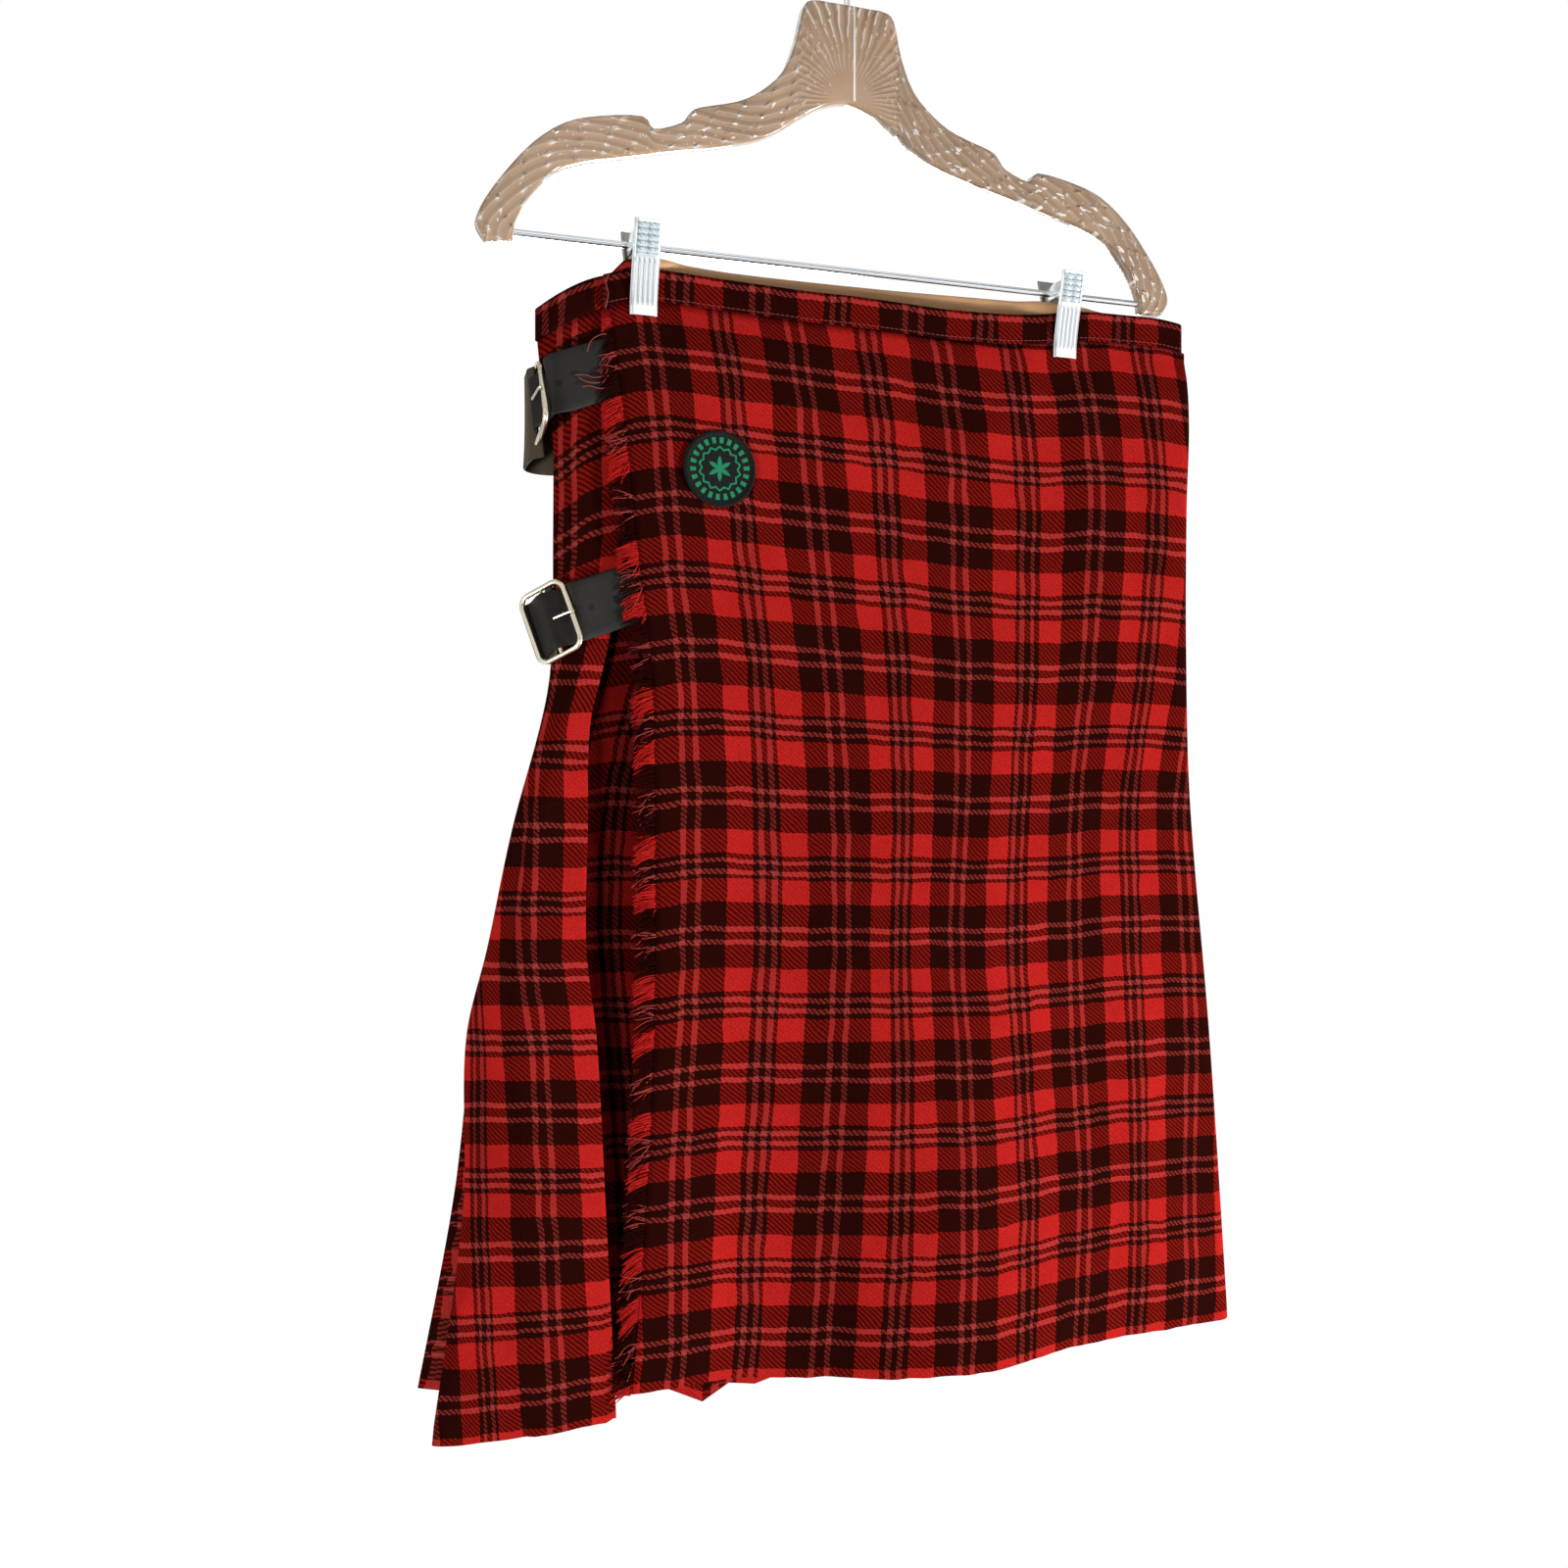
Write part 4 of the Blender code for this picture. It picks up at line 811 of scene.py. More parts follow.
@dataclass(frozen=True)
class Tartan:
    """Twill cloth in a two-colour sett, brushed."""

    name: str = "tartan_cloth"
    thread: float = 0.00076
    red: tuple = (0.380, 0.0125, 0.0105)
    deep: tuple = (0.178, 0.0066, 0.0046)
    light: tuple = (0.290, 0.0400, 0.0360)
    faint: tuple = (0.160, 0.0250, 0.0200)
    dusk: tuple = (0.048, 0.0022, 0.0014)
    black: tuple = (0.0165, 0.0022, 0.0014)
    warp_fade: float = 0.30
    # brightness scale of the whole cloth; the 0.35 of the layer under the apron is painted
    # shade
    depth: float = 1.0
    sway: float = 0.0030
    shake: float = 0.00025
    loose: bool = False

    def stripe(self, g: Graph, along: Sock) -> list[Sock]:
        """Darkness and lightness of the yarn at a place across the sett."""
        step = self.thread / SETT
        phase = ((((along / self.thread).floor() + 0.5) * step) + 100.0).fract()
        return g.parts("ShaderNodeSeparateColor", g.steps(sett_stops(), phase))[:2]

    def twill(self, g: Graph, along: Sock, drop: Sock) -> tuple[Sock, Sock]:
        """Colour and height of the woven cloth at a place along its two yarns."""
        warp_dark, warp_line = self.stripe(g, along)
        weft_dark, weft_line = self.stripe(g, drop)
        u, v = along / self.thread, drop / self.thread
        over = (((u.floor() - v.floor()) / 4.0 + 500.0).fract()) < 0.5
        under = 1.0 - over
        top_dark = over * warp_dark + under * weft_dark
        low_dark = over * weft_dark + under * warp_dark
        line = over * warp_line + under * weft_line
        red = g.blend(self.red, self.deep, low_dark)
        line_red = g.blend(self.light, self.faint, low_dark)
        red = g.blend(red, line_red, line * 0.85)
        black = g.blend(self.dusk, self.black, low_dark)
        cloth = g.blend(red, black, top_dark)
        cloth = g.blend(cloth, (0.0, 0.0, 0.0), over * warp_line * self.warp_fade)
        return cloth, over * u.wave() + under * v.wave() + g.noise(1900.0, 3.0) * 0.9

    def build(self) -> Material:
        """The material."""
        g = Graph(self.name)
        along, drop = g.weave_uv()
        fuzzy = (g.noise(1300.0, 1.0) - 0.5) * self.shake
        along = along + (g.noise(60.0) - 0.5) * self.sway + fuzzy
        drop = drop + (g.noise(75.0) - 0.5) * self.sway - fuzzy
        if self.loose:
            dark, line = self.stripe(g, drop)
            cloth = g.blend(g.blend(self.red, self.light, line), self.black, dark)
            height = g.noise(2600.0, 3.0)
        else:
            cloth, height = self.twill(g, along, drop)
        tone = g.noise(38.0, 3.0) * 0.30 + g.noise(1600.0, 2.0) * 1.05 + 0.33
        return g.finish(g.toned(cloth, tone * self.depth), 0.95,
                        g.bump(height, 0.00035, 0.55), Sheen_Weight=0.025,
                        Sheen_Roughness=0.45, Sheen_Tint=(0.75, 0.12, 0.09, 1.0),
                        Specular_IOR_Level=0.0)


@dataclass(frozen=True)
class Tape:
    """Plain woven lining tape."""

    name: str = "lining_tape"
    colour: tuple = (0.82, 0.45, 0.215)
    thread: float = 0.0006

    def build(self) -> Material:
        """The material."""
        g = Graph(self.name)
        u, v = g.weave_uv()
        weave = (u / self.thread).wave() * (v / self.thread).wave()
        tone = g.noise(55.0, 3.0) * 0.35 + weave * 0.22 + 0.70
        return g.finish(g.toned(self.colour, tone), 0.85,
                        g.bump(weave + g.noise(500.0), 0.0002, 0.5), Sheen_Weight=0.1)


@dataclass(frozen=True)
class Leather:
    """Smooth charcoal leather with punched holes, painted dark inside as shade."""

    name: str
    holes: tuple = ()
    hole_radius: float = 0.0019
    colour: tuple = (0.0108, 0.0092, 0.0072)
    worn: tuple = (0.012, 0.011, 0.010)
    # colour painted inside the holes: their shade
    pit: tuple = (0.002, 0.002, 0.002)
    lip: tuple = (0.012, 0.012, 0.011)
    half_width: float = 0.01575

    def build(self) -> Material:
        """The material."""
        g = Graph(self.name)
        u, v = g.weave_uv()
        grain = g.node("ShaderNodeTexVoronoi", None,
                       {"Vector": g.place(), "Scale": 1500.0}, "Distance")
        tone = g.noise(70.0, 4.0) * 0.7 + g.noise(900.0, 2.0) * 0.35 + 0.48
        edge = abs(v / self.half_width) ** 14.0
        base = g.blend(g.toned(self.colour, tone), self.worn, edge * 0.6)
        height = grain * 0.5 + g.noise(320.0, 3.0) * 0.8
        for at in self.holes:
            du = u - at
            away = (du * du + v * v).root() / self.hole_radius
            inside = away < 1.0
            # the holes are painted near black, as shade
            base = g.blend(base, self.pit, inside)
            base = g.blend(base, self.lip, ((away < 1.35) - inside) * 0.7)
            height = height - inside * 6.0
        return g.finish(base, g.noise(240.0, 3.0) * 0.2 + 0.55,
                        g.bump(height, 0.00018, 0.7), Specular_IOR_Level=0.18)


@dataclass(frozen=True)
class Metal:
    """Plated metal with faint marks."""

    name: str
    colour: tuple
    roughness: float

    def build(self) -> Material:
        """The material."""
        g = Graph(self.name)
        marks, cloudy = g.noise(420.0, 4.0), g.noise(60.0, 3.0)
        base = g.blend(self.colour, tuple(c * 0.72 for c in self.colour), cloudy * 0.55)
        return g.finish(base, marks * 0.14 + self.roughness,
                        g.bump(marks + cloudy * 2.0, 0.00004, 0.5), Metallic=1.0)


@dataclass(frozen=True)
class CutPlastic:
    """Clear moulded plastic with a cut-glass pattern, with painted glints and painted shade on
    its facets.
    """

    name: str = "clear_plastic"
    colour: tuple = (0.40, 0.255, 0.150)
    # spark is the colour of the painted glints, shade that of the painted shade on the facets
    spark: tuple = (0.95, 0.90, 0.84)
    shade: tuple = (0.20, 0.115, 0.060)
    facet: float = 0.0058
    fan_z: float = -0.1135
    fan_reach: float = 0.052
    hub_reach: float = 0.034

    def build(self) -> Material:
        """The material."""
        g = Graph(self.name)
        u, v = g.weave_uv()
        x, _, z = g.parts("ShaderNodeSeparateXYZ", g.place())
        drift = g.noise(26.0, 1.0) * 0.9
        one = ((u * 0.30 + v * 0.95) / self.facet + drift).wave()
        two = ((u * 0.62 - v * 0.78) / (self.facet * 2.1) + drift).wave()
        rise = z - self.fan_z
        fan = (x.arctan(rise) * 8.5 + g.noise(45.0) * 1.4).wave()
        reach = (x * x + rise * rise).root() / self.fan_reach
        arms = ((abs(x) / self.hub_reach) ** 6.0).at_most(1.0)
        fanned = (1.0 - arms) * (reach - 0.22).at_least(0.0).at_most(1.0)
        flecks = one ** 3.0 * two ** 6.0 * 2.0
        height = (one * 0.28 + flecks) * arms + fan * fanned
        glints = g.noise(120.0, 2.0)
        # painted glints: flecks where the facets cross, lines along their ridges, rays on the
        # fan, random flecks, streaks low on the arms and a line up the rib
        bright = (flecks * (glints > 0.50) + one ** 9.0 * 0.26) * arms
        bright = bright + fan ** 7.0 * fanned * (glints > 0.44) * 1.5
        bright = bright + (g.noise(430.0, 1.0) > 0.71) * 0.45
        lean = g.node("ShaderNodeCombineXYZ", None, {"X": u * 0.40, "Y": v})
        streak_glints = g.noise(330.0, 1.0, lean) + (x / 0.20).at_most(1.0) * 0.05
        bright = bright + (streak_glints > 0.685) * (v < 0.004) * arms * 0.9
        rib_glint = abs((x - 0.003) / 0.0007) < 1.0
        bright = bright + rib_glint * (rise > 0.0) * 0.9
        # painted shade on one side of each facet and of each ray
        dark = (1.0 - one) * arms * 0.16 + (1.0 - fan) * fanned * 0.35
        # random tone, with the right arm painted darker as shade
        tone = g.noise(34.0, 3.0) * 0.5 + 0.80 - (x > 0.03) * 0.13
        base = g.toned(g.blend(self.colour, self.shade, dark.at_most(1.0)), tone)
        base = g.blend(base, self.spark, bright.at_most(1.0) * 0.85)
        return g.finish(base, 0.12, g.bump(height, 0.0014, 0.75), IOR=1.49,
                        Transmission_Weight=0.18, Coat_Weight=0.5, Coat_Roughness=0.05)


@dataclass(frozen=True)
class StampedChrome:
    """Chrome sheet with a knurled grip above upright flutes, the grooves of both painted dark
    as shade.
    """

    name: str = "stamped_chrome"
    bright: tuple = (0.90, 0.93, 0.94)
    # colour of the painted shade in the grooves
    groove: tuple = (0.13, 0.16, 0.18)
    grip: tuple = (0.50, 0.66, 0.70)

    def build(self) -> Material:
        """The material."""
        g = Graph(self.name)
        along, across = g.weave_uv()
        off = abs(across)
        line = (across * 2.75 + 10.0).wave() ** 6.0
        fluted = (along > FLUTES_FROM) * (along < FLUTES_TO) * (off < 0.92)
        rows = ((along - GRIP_FROM) / ((GRIP_TO - GRIP_FROM) / GRIP_ROWS) + 4.0).wave()
        gripped = (along > GRIP_FROM) * (along < GRIP_TO) * (off < 0.80)
        cut = (1.0 - rows) ** 2.0 * gripped
        base = g.blend(self.bright, self.grip, gripped * 0.55)
        # painted shade in the flutes' grooves and in the knurl's cuts
        base = g.blend(base, self.groove, line * fluted * 0.9 + cut * 0.8)
        marks = g.noise(420.0, 4.0)
        return g.finish(base, marks * 0.12 + 0.10, g.bump(marks, 0.00003, 0.5),
                        Metallic=0.6)


@dataclass(frozen=True)
class Embroidery:
    """Black badge cloth with a plain green stitched ornament."""

    radius: float
    name: str = "embroidered_badge"
    black: tuple = (0.0085, 0.0100, 0.0085)
    green: tuple = (0.018, 0.225, 0.105)

    def build(self) -> Material:
        """The material."""
        g = Graph(self.name)
        u, v = g.weave_uv()
        r = (u * u + v * v).root() / self.radius
        angle = v.arctan(u) / (2 * math.pi) + 1.0
        dashes = ((angle * 22.0).fract() < 0.50) * (r > 0.66) * (r < 0.82)
        chain = abs(r - ((angle * 14.0).wave() * 0.08 + 0.49)) < 0.028
        star = r < ((angle * 6.0).wave() * 0.26 + 0.08)
        ink = (dashes + chain + star).at_most(1.0)
        satin = (angle * 210.0).wave() * (r > 0.6) + (u / 0.00045).wave() * (r < 0.6)
        overlock = (angle * 130.0 + r * 3.0).wave() * (r > 0.90)
        tone = g.noise(900.0, 2.0) * 0.6 + satin * 0.3 + 0.55
        base = g.blend(self.black, g.toned(self.green, tone), ink)
        height = ink * (satin * 0.5 + 1.0) + overlock + g.noise(1400.0) * 0.4
        return g.finish(base, 0.8, g.bump(height, 0.0004, 0.8), Sheen_Weight=0.02,
                        Specular_IOR_Level=0.06)


# ---- making meshes ------------------------------------------------------
class Maker:
    """Builds one piece's mesh with bmesh operators."""

    def __init__(self, name: str) -> None:
        """Starts an empty mesh with a UV map."""
        self.name = name
        self.bm = bmesh.new()
        self.uv = self.bm.loops.layers.uv.new(WEAVE)

    def grid(self, rows: Rows, uvs: Rows, wrap: bool = False) -> list:
        """Adds a surface through rows of points.

        Args:
            rows: points, all rows of one length.
            uvs: UV pair of each point.
            wrap: whether the last column or row meets the first.

        Returns:
            The surface's vertices.
        """
        wide, tall = len(rows[0]) - 1, len(rows) - 1
        made = bmesh.ops.create_grid(self.bm, x_segments=wide, y_segments=tall, size=0.5)
        verts = made["verts"]
        places = {}
        for vert in verts:
            i = round((vert.co.x + 0.5) * wide)
            j = round((vert.co.y + 0.5) * tall)
            places[vert] = (i, j)
            vert.co = rows[j][i]
        for face in {f for v in verts for f in v.link_faces}:
            for loop in face.loops:
                i, j = places[loop.vert]
                loop[self.uv].uv = uvs[j][i]
        if wrap:
            bmesh.ops.remove_doubles(self.bm, verts=verts, dist=1e-7)
            verts = [vert for vert in verts if vert.is_valid]
        return verts

    def absorb(self, other: "Maker") -> None:
        """Takes over the mesh of another maker."""
        mesh = bpy.data.meshes.new("part")
        other.bm.to_mesh(mesh)
        other.bm.free()
        self.bm.from_mesh(mesh)
        bpy.data.meshes.remove(mesh)

    def close(self, verts: list, sides: int) -> None:
        """Fills the open ends of a tube or strip."""
        edges = {edge for vert in verts for edge in vert.link_edges if edge.is_boundary}
        bmesh.ops.holes_fill(self.bm, edges=list(edges), sides=sides)

    def tube(self, path: Sequence[Point], radii: Sequence[float], sides: int,
             closed: bool = False, uv_v: float = 0.0) -> None:
        """Adds a round wire or thread along a path.

        Args:
            path: its middle line.
            radii: its radius at each point.
            sides: how many sides it has.
            closed: whether its end meets its start.
            uv_v: the V of all its points.
        """
        points = [Vector(p) for p in path]
        count = len(points)
        up = Vector((0.13, 0.21, 0.97)).normalized()
        turns = [2 * math.pi * s / sides for s in range(sides + 1)]
        rows, uvs, run = [], [], 0.0
        for k in [*range(count), 0] if closed else range(count):
            before = points[k - 1] if closed or k else points[k]
            after = points[(k + 1) % count] if closed or k < count - 1 else points[k]
            along = (after - before).normalized()
            side = along.cross(up).normalized()
            up = side.cross(along)
            run += (after - before).length / 2
            rows.append([points[k] + side * (radii[k] * math.cos(turn))
                         + up * (radii[k] * math.sin(turn)) for turn in turns])
            uvs.append([(run, uv_v)] * (sides + 1))
        if closed:
            rows[-1] = rows[0]
        verts = self.grid(rows, uvs, wrap=True)
        if not closed:
            self.close(verts, sides + 1)

    def plate(self, outline: Sequence[Point], move: Point, bevel: float) -> None:
        """Adds a flat closed shape drawn out by a vector, its edges rounded."""
        verts = [self.bm.verts.new(p) for p in outline]
        face = self.bm.faces.new(verts)
        drawn = bmesh.ops.extrude_face_region(self.bm, geom=[face])["geom"]
        moved = [g for g in drawn if isinstance(g, bmesh.types.BMVert)]
        bmesh.ops.translate(self.bm, verts=moved, vec=Vector(move))
        edges = {e for v in verts + moved for e in v.link_edges}
        bmesh.ops.bevel(self.bm, geom=list(edges), offset=bevel, segments=2,
                        affect="EDGES", profile=0.5, material=-1)

    def finish(self, material: Material, slot: str, *nodes: str) -> bpy.types.Object:
        """Makes the object, dresses it and sets it on the body.

        Args:
            material: its finish.
            slot: the record's material slot; not used.
            nodes: CAD nodes that it stands for.

        Returns:
            The object.
        """
        bmesh.ops.recalc_face_normals(self.bm, faces=self.bm.faces)
        mesh = bpy.data.meshes.new(self.name)
        self.bm.to_mesh(mesh)
        self.bm.free()
        mesh.shade_smooth()
        mesh.materials.append(material)
        obj = bpy.data.objects.new(self.name, mesh)
        bpy.context.scene.collection.objects.link(obj)
        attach(obj, "root")
        if nodes:
            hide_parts(*nodes)
        LOG.info("%s: %d faces", self.name, len(mesh.polygons))
        return obj


def wall(obj: bpy.types.Object, thickness: float) -> None:
    """Gives an open surface its wall, half to each side."""
    solid = obj.modifiers.new("Wall", "SOLIDIFY")
    solid.thickness = thickness
    solid.offset = 0.0


def shifted(rows: Rows) -> Rows:
    """Rows in the kilt's own X, moved to the hanger's frame."""
    return [[placed(*p) for p in row] for row in rows]


# ---- cloth --------------------------------------------------------------
DROP = 0.612                # metres of cloth from the waistband's seam to the hem
CLOTH_TUCK = 0.0002         # how far the cloth's top goes up into the band
HEM_WAVES = [(0.0016, 24, 0.0), (0.0007, 95, 4.0)]      # height, rate and noise layer

# the front: over apron and under apron
FRONT_LOW_Z = -0.870        # lowest level of their plans
UNDER_HIGH_Z = -0.247       # highest level of the under apron's
UNDER_HEM_Z = (-0.868, -0.857)      # its hem, at its left end and past it
APRON_COLUMNS = 110         # faces across and down, and levels of the plans
APRON_ROWS = 120
APRON_LEVELS = 60
UNDER_COLUMNS = 40
UNDER_ROWS = 80
UNDER_LEVELS = 40

# the side pleat
PLEAT_HIGH_Z = -0.262       # highest and lowest levels of the plans of all the pleats
PLEAT_LOW_Z = -0.875
SIDE_STEPS = 14             # columns of faces between two points of the side's table
SIDE_FOLD = 5               # the column at the side pleat's visible fold
SIDE_PERIOD = 0.0815        # one repeat across the side pleat, as it hangs
SIDE_PAIR_AT = 0.0328       # from the visible fold to the first dark pair's middle
SIDE_CLOSE_FROM = 0.062     # where the warp stripes start to crowd round the hip
SIDE_CLOSE_RATE = 0.5       # how much cloth that takes up for each metre across
SIDE_CLOSE_MOST = 0.0125    # and how much at most
SIDE_HEM_Z = (-0.8705, -0.8735)     # its hem, at its fold and at its turn
SIDE_HEM_LIFT = 0.0022      # how much the fold's corner is drawn up
SIDE_INNER_Z = -0.862       # hem of its inner end
LEVEL_FROM = 0.115          # the side pleat's stripes look level between this drop
LEVEL_TO = 0.610            # and this one
EYE_Z = -0.51               # height at which level stripes stay level
NEARER_BY_X = 0.36          # how much nearer a point further left looks

# the knife pleats of the back
TIP_PLEATS = (4, 5)         # the pleats whose inner corners hang out at the hem
TIP_INNER_Z = -0.862        # how low those pleats' hidden edges hang
PLEAT_SHOWS = 0.0225        # how much cloth of a knife pleat shows at the waist
PLEAT_HIDES = (1.55, 1.60)  # where its two hidden edges lie, as shares of that
FOLD_ROUND = 0.0015         # and how much goes round its fold
BACK_ROWS = 70
BACK_LEVELS = 50


class Sett:
    """Where the tartan lies on the hung cloth, in metres of cloth."""

    def __init__(self) -> None:
        """Reads the stripe tables."""
        self.front_drop = Curve([(drop, k) for k, drop in enumerate(FRONT_PAIRS)])
        self.side_drop = Curve([(drop, k) for k, drop in enumerate(SIDE_PAIRS)])
        self.sag_by_drop = Curve(SAG_BY_DROP)
        self.sag_by_arc = Curve(SAG_BY_ARC)
        drops, *pairs = zip(*WARP_PAIRS)
        self.warp = [Curve(list(zip(drops, pair))) for pair in pairs]

    def front_v(self, drop: float, arc: float) -> float:
        """Place along the warp at a drop and an arc length from the free edge."""
        sag = self.sag_by_drop(drop / MM) * self.sag_by_arc(arc / MM)
        return self.front_drop.onward(drop / MM - sag) * SETT

    def front_u(self, drop: float) -> Callable[[float], float]:
        """Gives the place along the weft by arc length, at one drop."""
        row = Curve([(pair(drop / MM), k) for k, pair in enumerate(self.warp)])
        return lambda arc: row.onward(arc / MM) * SETT

    def side_v(self, drop: float) -> float:
        """Place along the side pleat's warp at a drop."""
        return self.side_drop.onward(drop / MM) * SETT


def hem_wave(x: float, seed: float) -> float:
    """Small rise and fall of a hem, a slow one and a quick one."""
    return sum(height * noise.noise(Vector((x * rate, seed, layer)))
               for height, rate, layer in HEM_WAVES)


def along_rows(rows: Rows) -> list[tuple]:
    """Each row of a hung cloth, with its drop and the arc lengths of its points."""
    last = len(rows) - 1
    return [(row, DROP * j / last, plan_lengths(row)) for j, row in enumerate(rows)]


@dataclass
class KiltCloth:
    """The apron, the side pleat, the layer under the apron and the pleated back."""

    form: KiltForm
    tartan: Material
    # the tartan with painted shade, for the layer under the apron
    inner: Material
    sett: Sett = field(default_factory=Sett)
    apron_rows: Rows = field(default_factory=list)
    apron_uvs: Rows = field(default_factory=list)

    def build(self) -> None:
        """All the pieces."""
        self.over_apron()
        self.side_pleat()
        self.under_apron()
        seam, last = self.form.sizes.seam_pleat, self.form.sizes.pleats
        self.back("pleated_back_right_hip", 0, seam)
        self.back("pleated_back_left_hip", seam, last)

    def sheet(self, name: str, rows: Rows, uvs: Rows, thickness: float, width: float) -> None:
        """One cloth with its wall."""
        maker = Maker(name)
        maker.grid(shifted(rows), uvs)
        # the under apron gets the tartan with painted shade
        material = self.inner if name == "under_apron" else self.tartan
        obj = maker.finish(material, "tartan", name)
        wall(obj, thickness)

    def relief(self, x: float, z: float, right: float) -> float:
        """Creases of the front, easing out at its left edge and its right turn."""
        ease = 1 - smoothstep((x - right + 0.045) / 0.040)
        near_edge = smoothstep((x - self.form.free_edge(z)) / 0.006)
        return self.form.front_relief(x, z) * ease * near_edge

    def over_apron(self) -> None:
        """The outer apron, round the left hip to the last pleat."""
        form, sizes = self.form, self.form.sizes
        top_z = BAND_MIDDLE_Z - sizes.band_height - sizes.clearance
        levels = Levels(lambda z: form.over_apron_plan(z, APRON_COLUMNS), top_z,
                        FRONT_LOW_Z, APRON_LEVELS)
        edges = []
        for x, y in levels.plans[0]:
            seam, hem = form.front_top(x), form.front_hem(x)
            if y >= 0.001:
                seam, hem = mix(seam, form.back_top(x), 0.5), FRONT_HEM[-1][1]
            edges.append((seam - sizes.band_height + CLOTH_TUCK, hem + hem_wave(x, 1.0)))
        rows, uvs = levels.rows(edges, APRON_ROWS), []
        for row, drop, arcs in along_rows(rows):
            warp = self.sett.front_u(drop)
            uvs.append([(warp(arc), self.sett.front_v(drop, arc)) for arc in arcs])
            right = row[APRON_COLUMNS][0]
            for c in range(APRON_COLUMNS):
                x, y, z = row[c]
                row[c] = (x, y - self.relief(x, z, right), z)
        self.apron_rows, self.apron_uvs = rows, uvs
        self.sheet("over_apron", rows, uvs, sizes.cloth_wall, 0.45)

    def side_pleat(self) -> None:
        """The wide pleat beside the apron's free edge, round the right hip."""
        form, sizes = self.form, self.form.sizes
        levels = Levels(lambda z: form.side_pleat_plan(z, SIDE_STEPS), PLEAT_HIGH_Z,
                        PLEAT_LOW_Z, APRON_LEVELS)
        edges = []
        for x, y in levels.plans[0]:
            top = form.band_end_top(x, y) - sizes.band_height - sizes.clearance
            outer = mix(*SIDE_HEM_Z, smoothstep((-0.155 - x) / 0.028))
            outer += hem_wave(x * 2.2, 2.0) * 1.3
            outer += SIDE_HEM_LIFT * smoothstep((x + 0.1405) / 0.003)
            inner = smoothstep((y - 0.0092) / 0.003)
            edges.append((top, mix(outer, SIDE_INNER_Z, inner)))
        rows, uvs = levels.rows(edges, APRON_ROWS), []
        for row, drop, arcs in along_rows(rows):
            level = (smoothstep((drop - LEVEL_FROM) / 0.060)
                     * smoothstep((LEVEL_TO - drop) / 0.140))
            fold, fold_arc = row[SIDE_FOLD], arcs[SIDE_FOLD]
            pairs = []
            for point, arc in zip(row, arcs):
                even = (fold[2] - self.level_z(point, fold)) * level
                pairs.append((self.side_u(arc - fold_arc),
                              self.sett.side_v(drop + even)))
            uvs.append(pairs)
            for c in range(SIDE_FOLD + 1, len(row) - SIDE_FOLD - 1):
                x, y, z = row[c]
                soft = noise.noise(Vector((arcs[c] * 22, z * 9, 5.5))) * 0.0008
                row[c] = (x, y - soft * smoothstep((arcs[c] - fold_arc) / 0.02), z)
        self.sheet("side_pleat", rows, uvs, sizes.cloth_wall, 0.120)

    def side_u(self, across: float) -> float:
        """Place along the weft at an arc length from the pleat's visible fold."""
        closer = max(across - SIDE_CLOSE_FROM, 0.0) * SIDE_CLOSE_RATE
        return ((SIDE_PAIR_AT - across - min(closer, SIDE_CLOSE_MOST)) / SIDE_PERIOD
                * SETT)

    def level_z(self, point: Point, fold: Point) -> float:
        """Height on the fold that looks level with a point of the pleat's face."""
        nearer = (fold[0] - point[0]) * NEARER_BY_X + (fold[1] - point[1])
        return point[2] + (point[2] - EYE_Z) * nearer

    def plain_uvs(self, acrosses: Sequence[Sequence[float]]) -> Rows:
        """UV pairs of a cloth whose weft runs level, from its rows of places across."""
        last = len(acrosses) - 1
        drops = [self.sett.front_v(DROP * j / last, 0.0) for j in range(last + 1)]
        return [[(u, v) for u in row] for row, v in zip(acrosses, drops)]

    def under_apron(self) -> None:
        """The layer under the over apron."""
        form, sizes = self.form, self.form.sizes
        levels = Levels(lambda z: form.under_apron_plan(z, UNDER_COLUMNS), UNDER_HIGH_Z,
                        FRONT_LOW_Z, UNDER_LEVELS)
        edges = []
        for x, _ in levels.plans[0]:
            seams = [top - sizes.band_height - sizes.clearance
                     for top in (form.band_end_top(x, 0.0), form.front_top(x))]
            top = mix(*seams, smoothstep((x + 0.150) / 0.020))
            hem = mix(*UNDER_HEM_Z, smoothstep((x + 0.163) / 0.022))
            edges.append((top, hem + hem_wave(x, 3.0)))
        rows = levels.rows(edges, UNDER_ROWS)
        uvs = self.plain_uvs([plan_lengths(row) for row in rows])
        self.sheet("under_apron", rows, uvs, sizes.cloth_wall, 0.36)

    def pleat_columns(self, first: int, last: int) -> list[tuple]:
        """Hem height and place across the cloth of each of the pleats' columns."""
        whole = SETT + PLEAT_SHOWS
        columns = [(PLEAT_HEM[first][0], first * whole - back) for back in (0.010, FOLD_ROUND)]
        for i in range(first, last):
            here = i * whole
            fold_z, under_z = PLEAT_HEM[i]
            hidden_z = TIP_INNER_Z if i in TIP_PLEATS else under_z
            columns += [(fold_z, here), (under_z, here + PLEAT_SHOWS),
                        (hidden_z, here + PLEAT_SHOWS * PLEAT_HIDES[0])]
            if i < last - 1:
                columns += [(hidden_z, here + PLEAT_SHOWS * PLEAT_HIDES[1]),
                            (PLEAT_HEM[i + 1][0],
                             here + SETT + PLEAT_SHOWS - FOLD_ROUND)]
        return columns

    def back(self, name: str, first: int, last: int) -> None:
        """Knife pleats of the back, with softened folds and slightly bowed faces."""
        form, sizes = self.form, self.form.sizes

        def plan(z: float) -> list[tuple]:
            """The plan at a height, split into its fine columns."""
            return split_runs(form.pleat_plan(z, first, last), pleat_run)

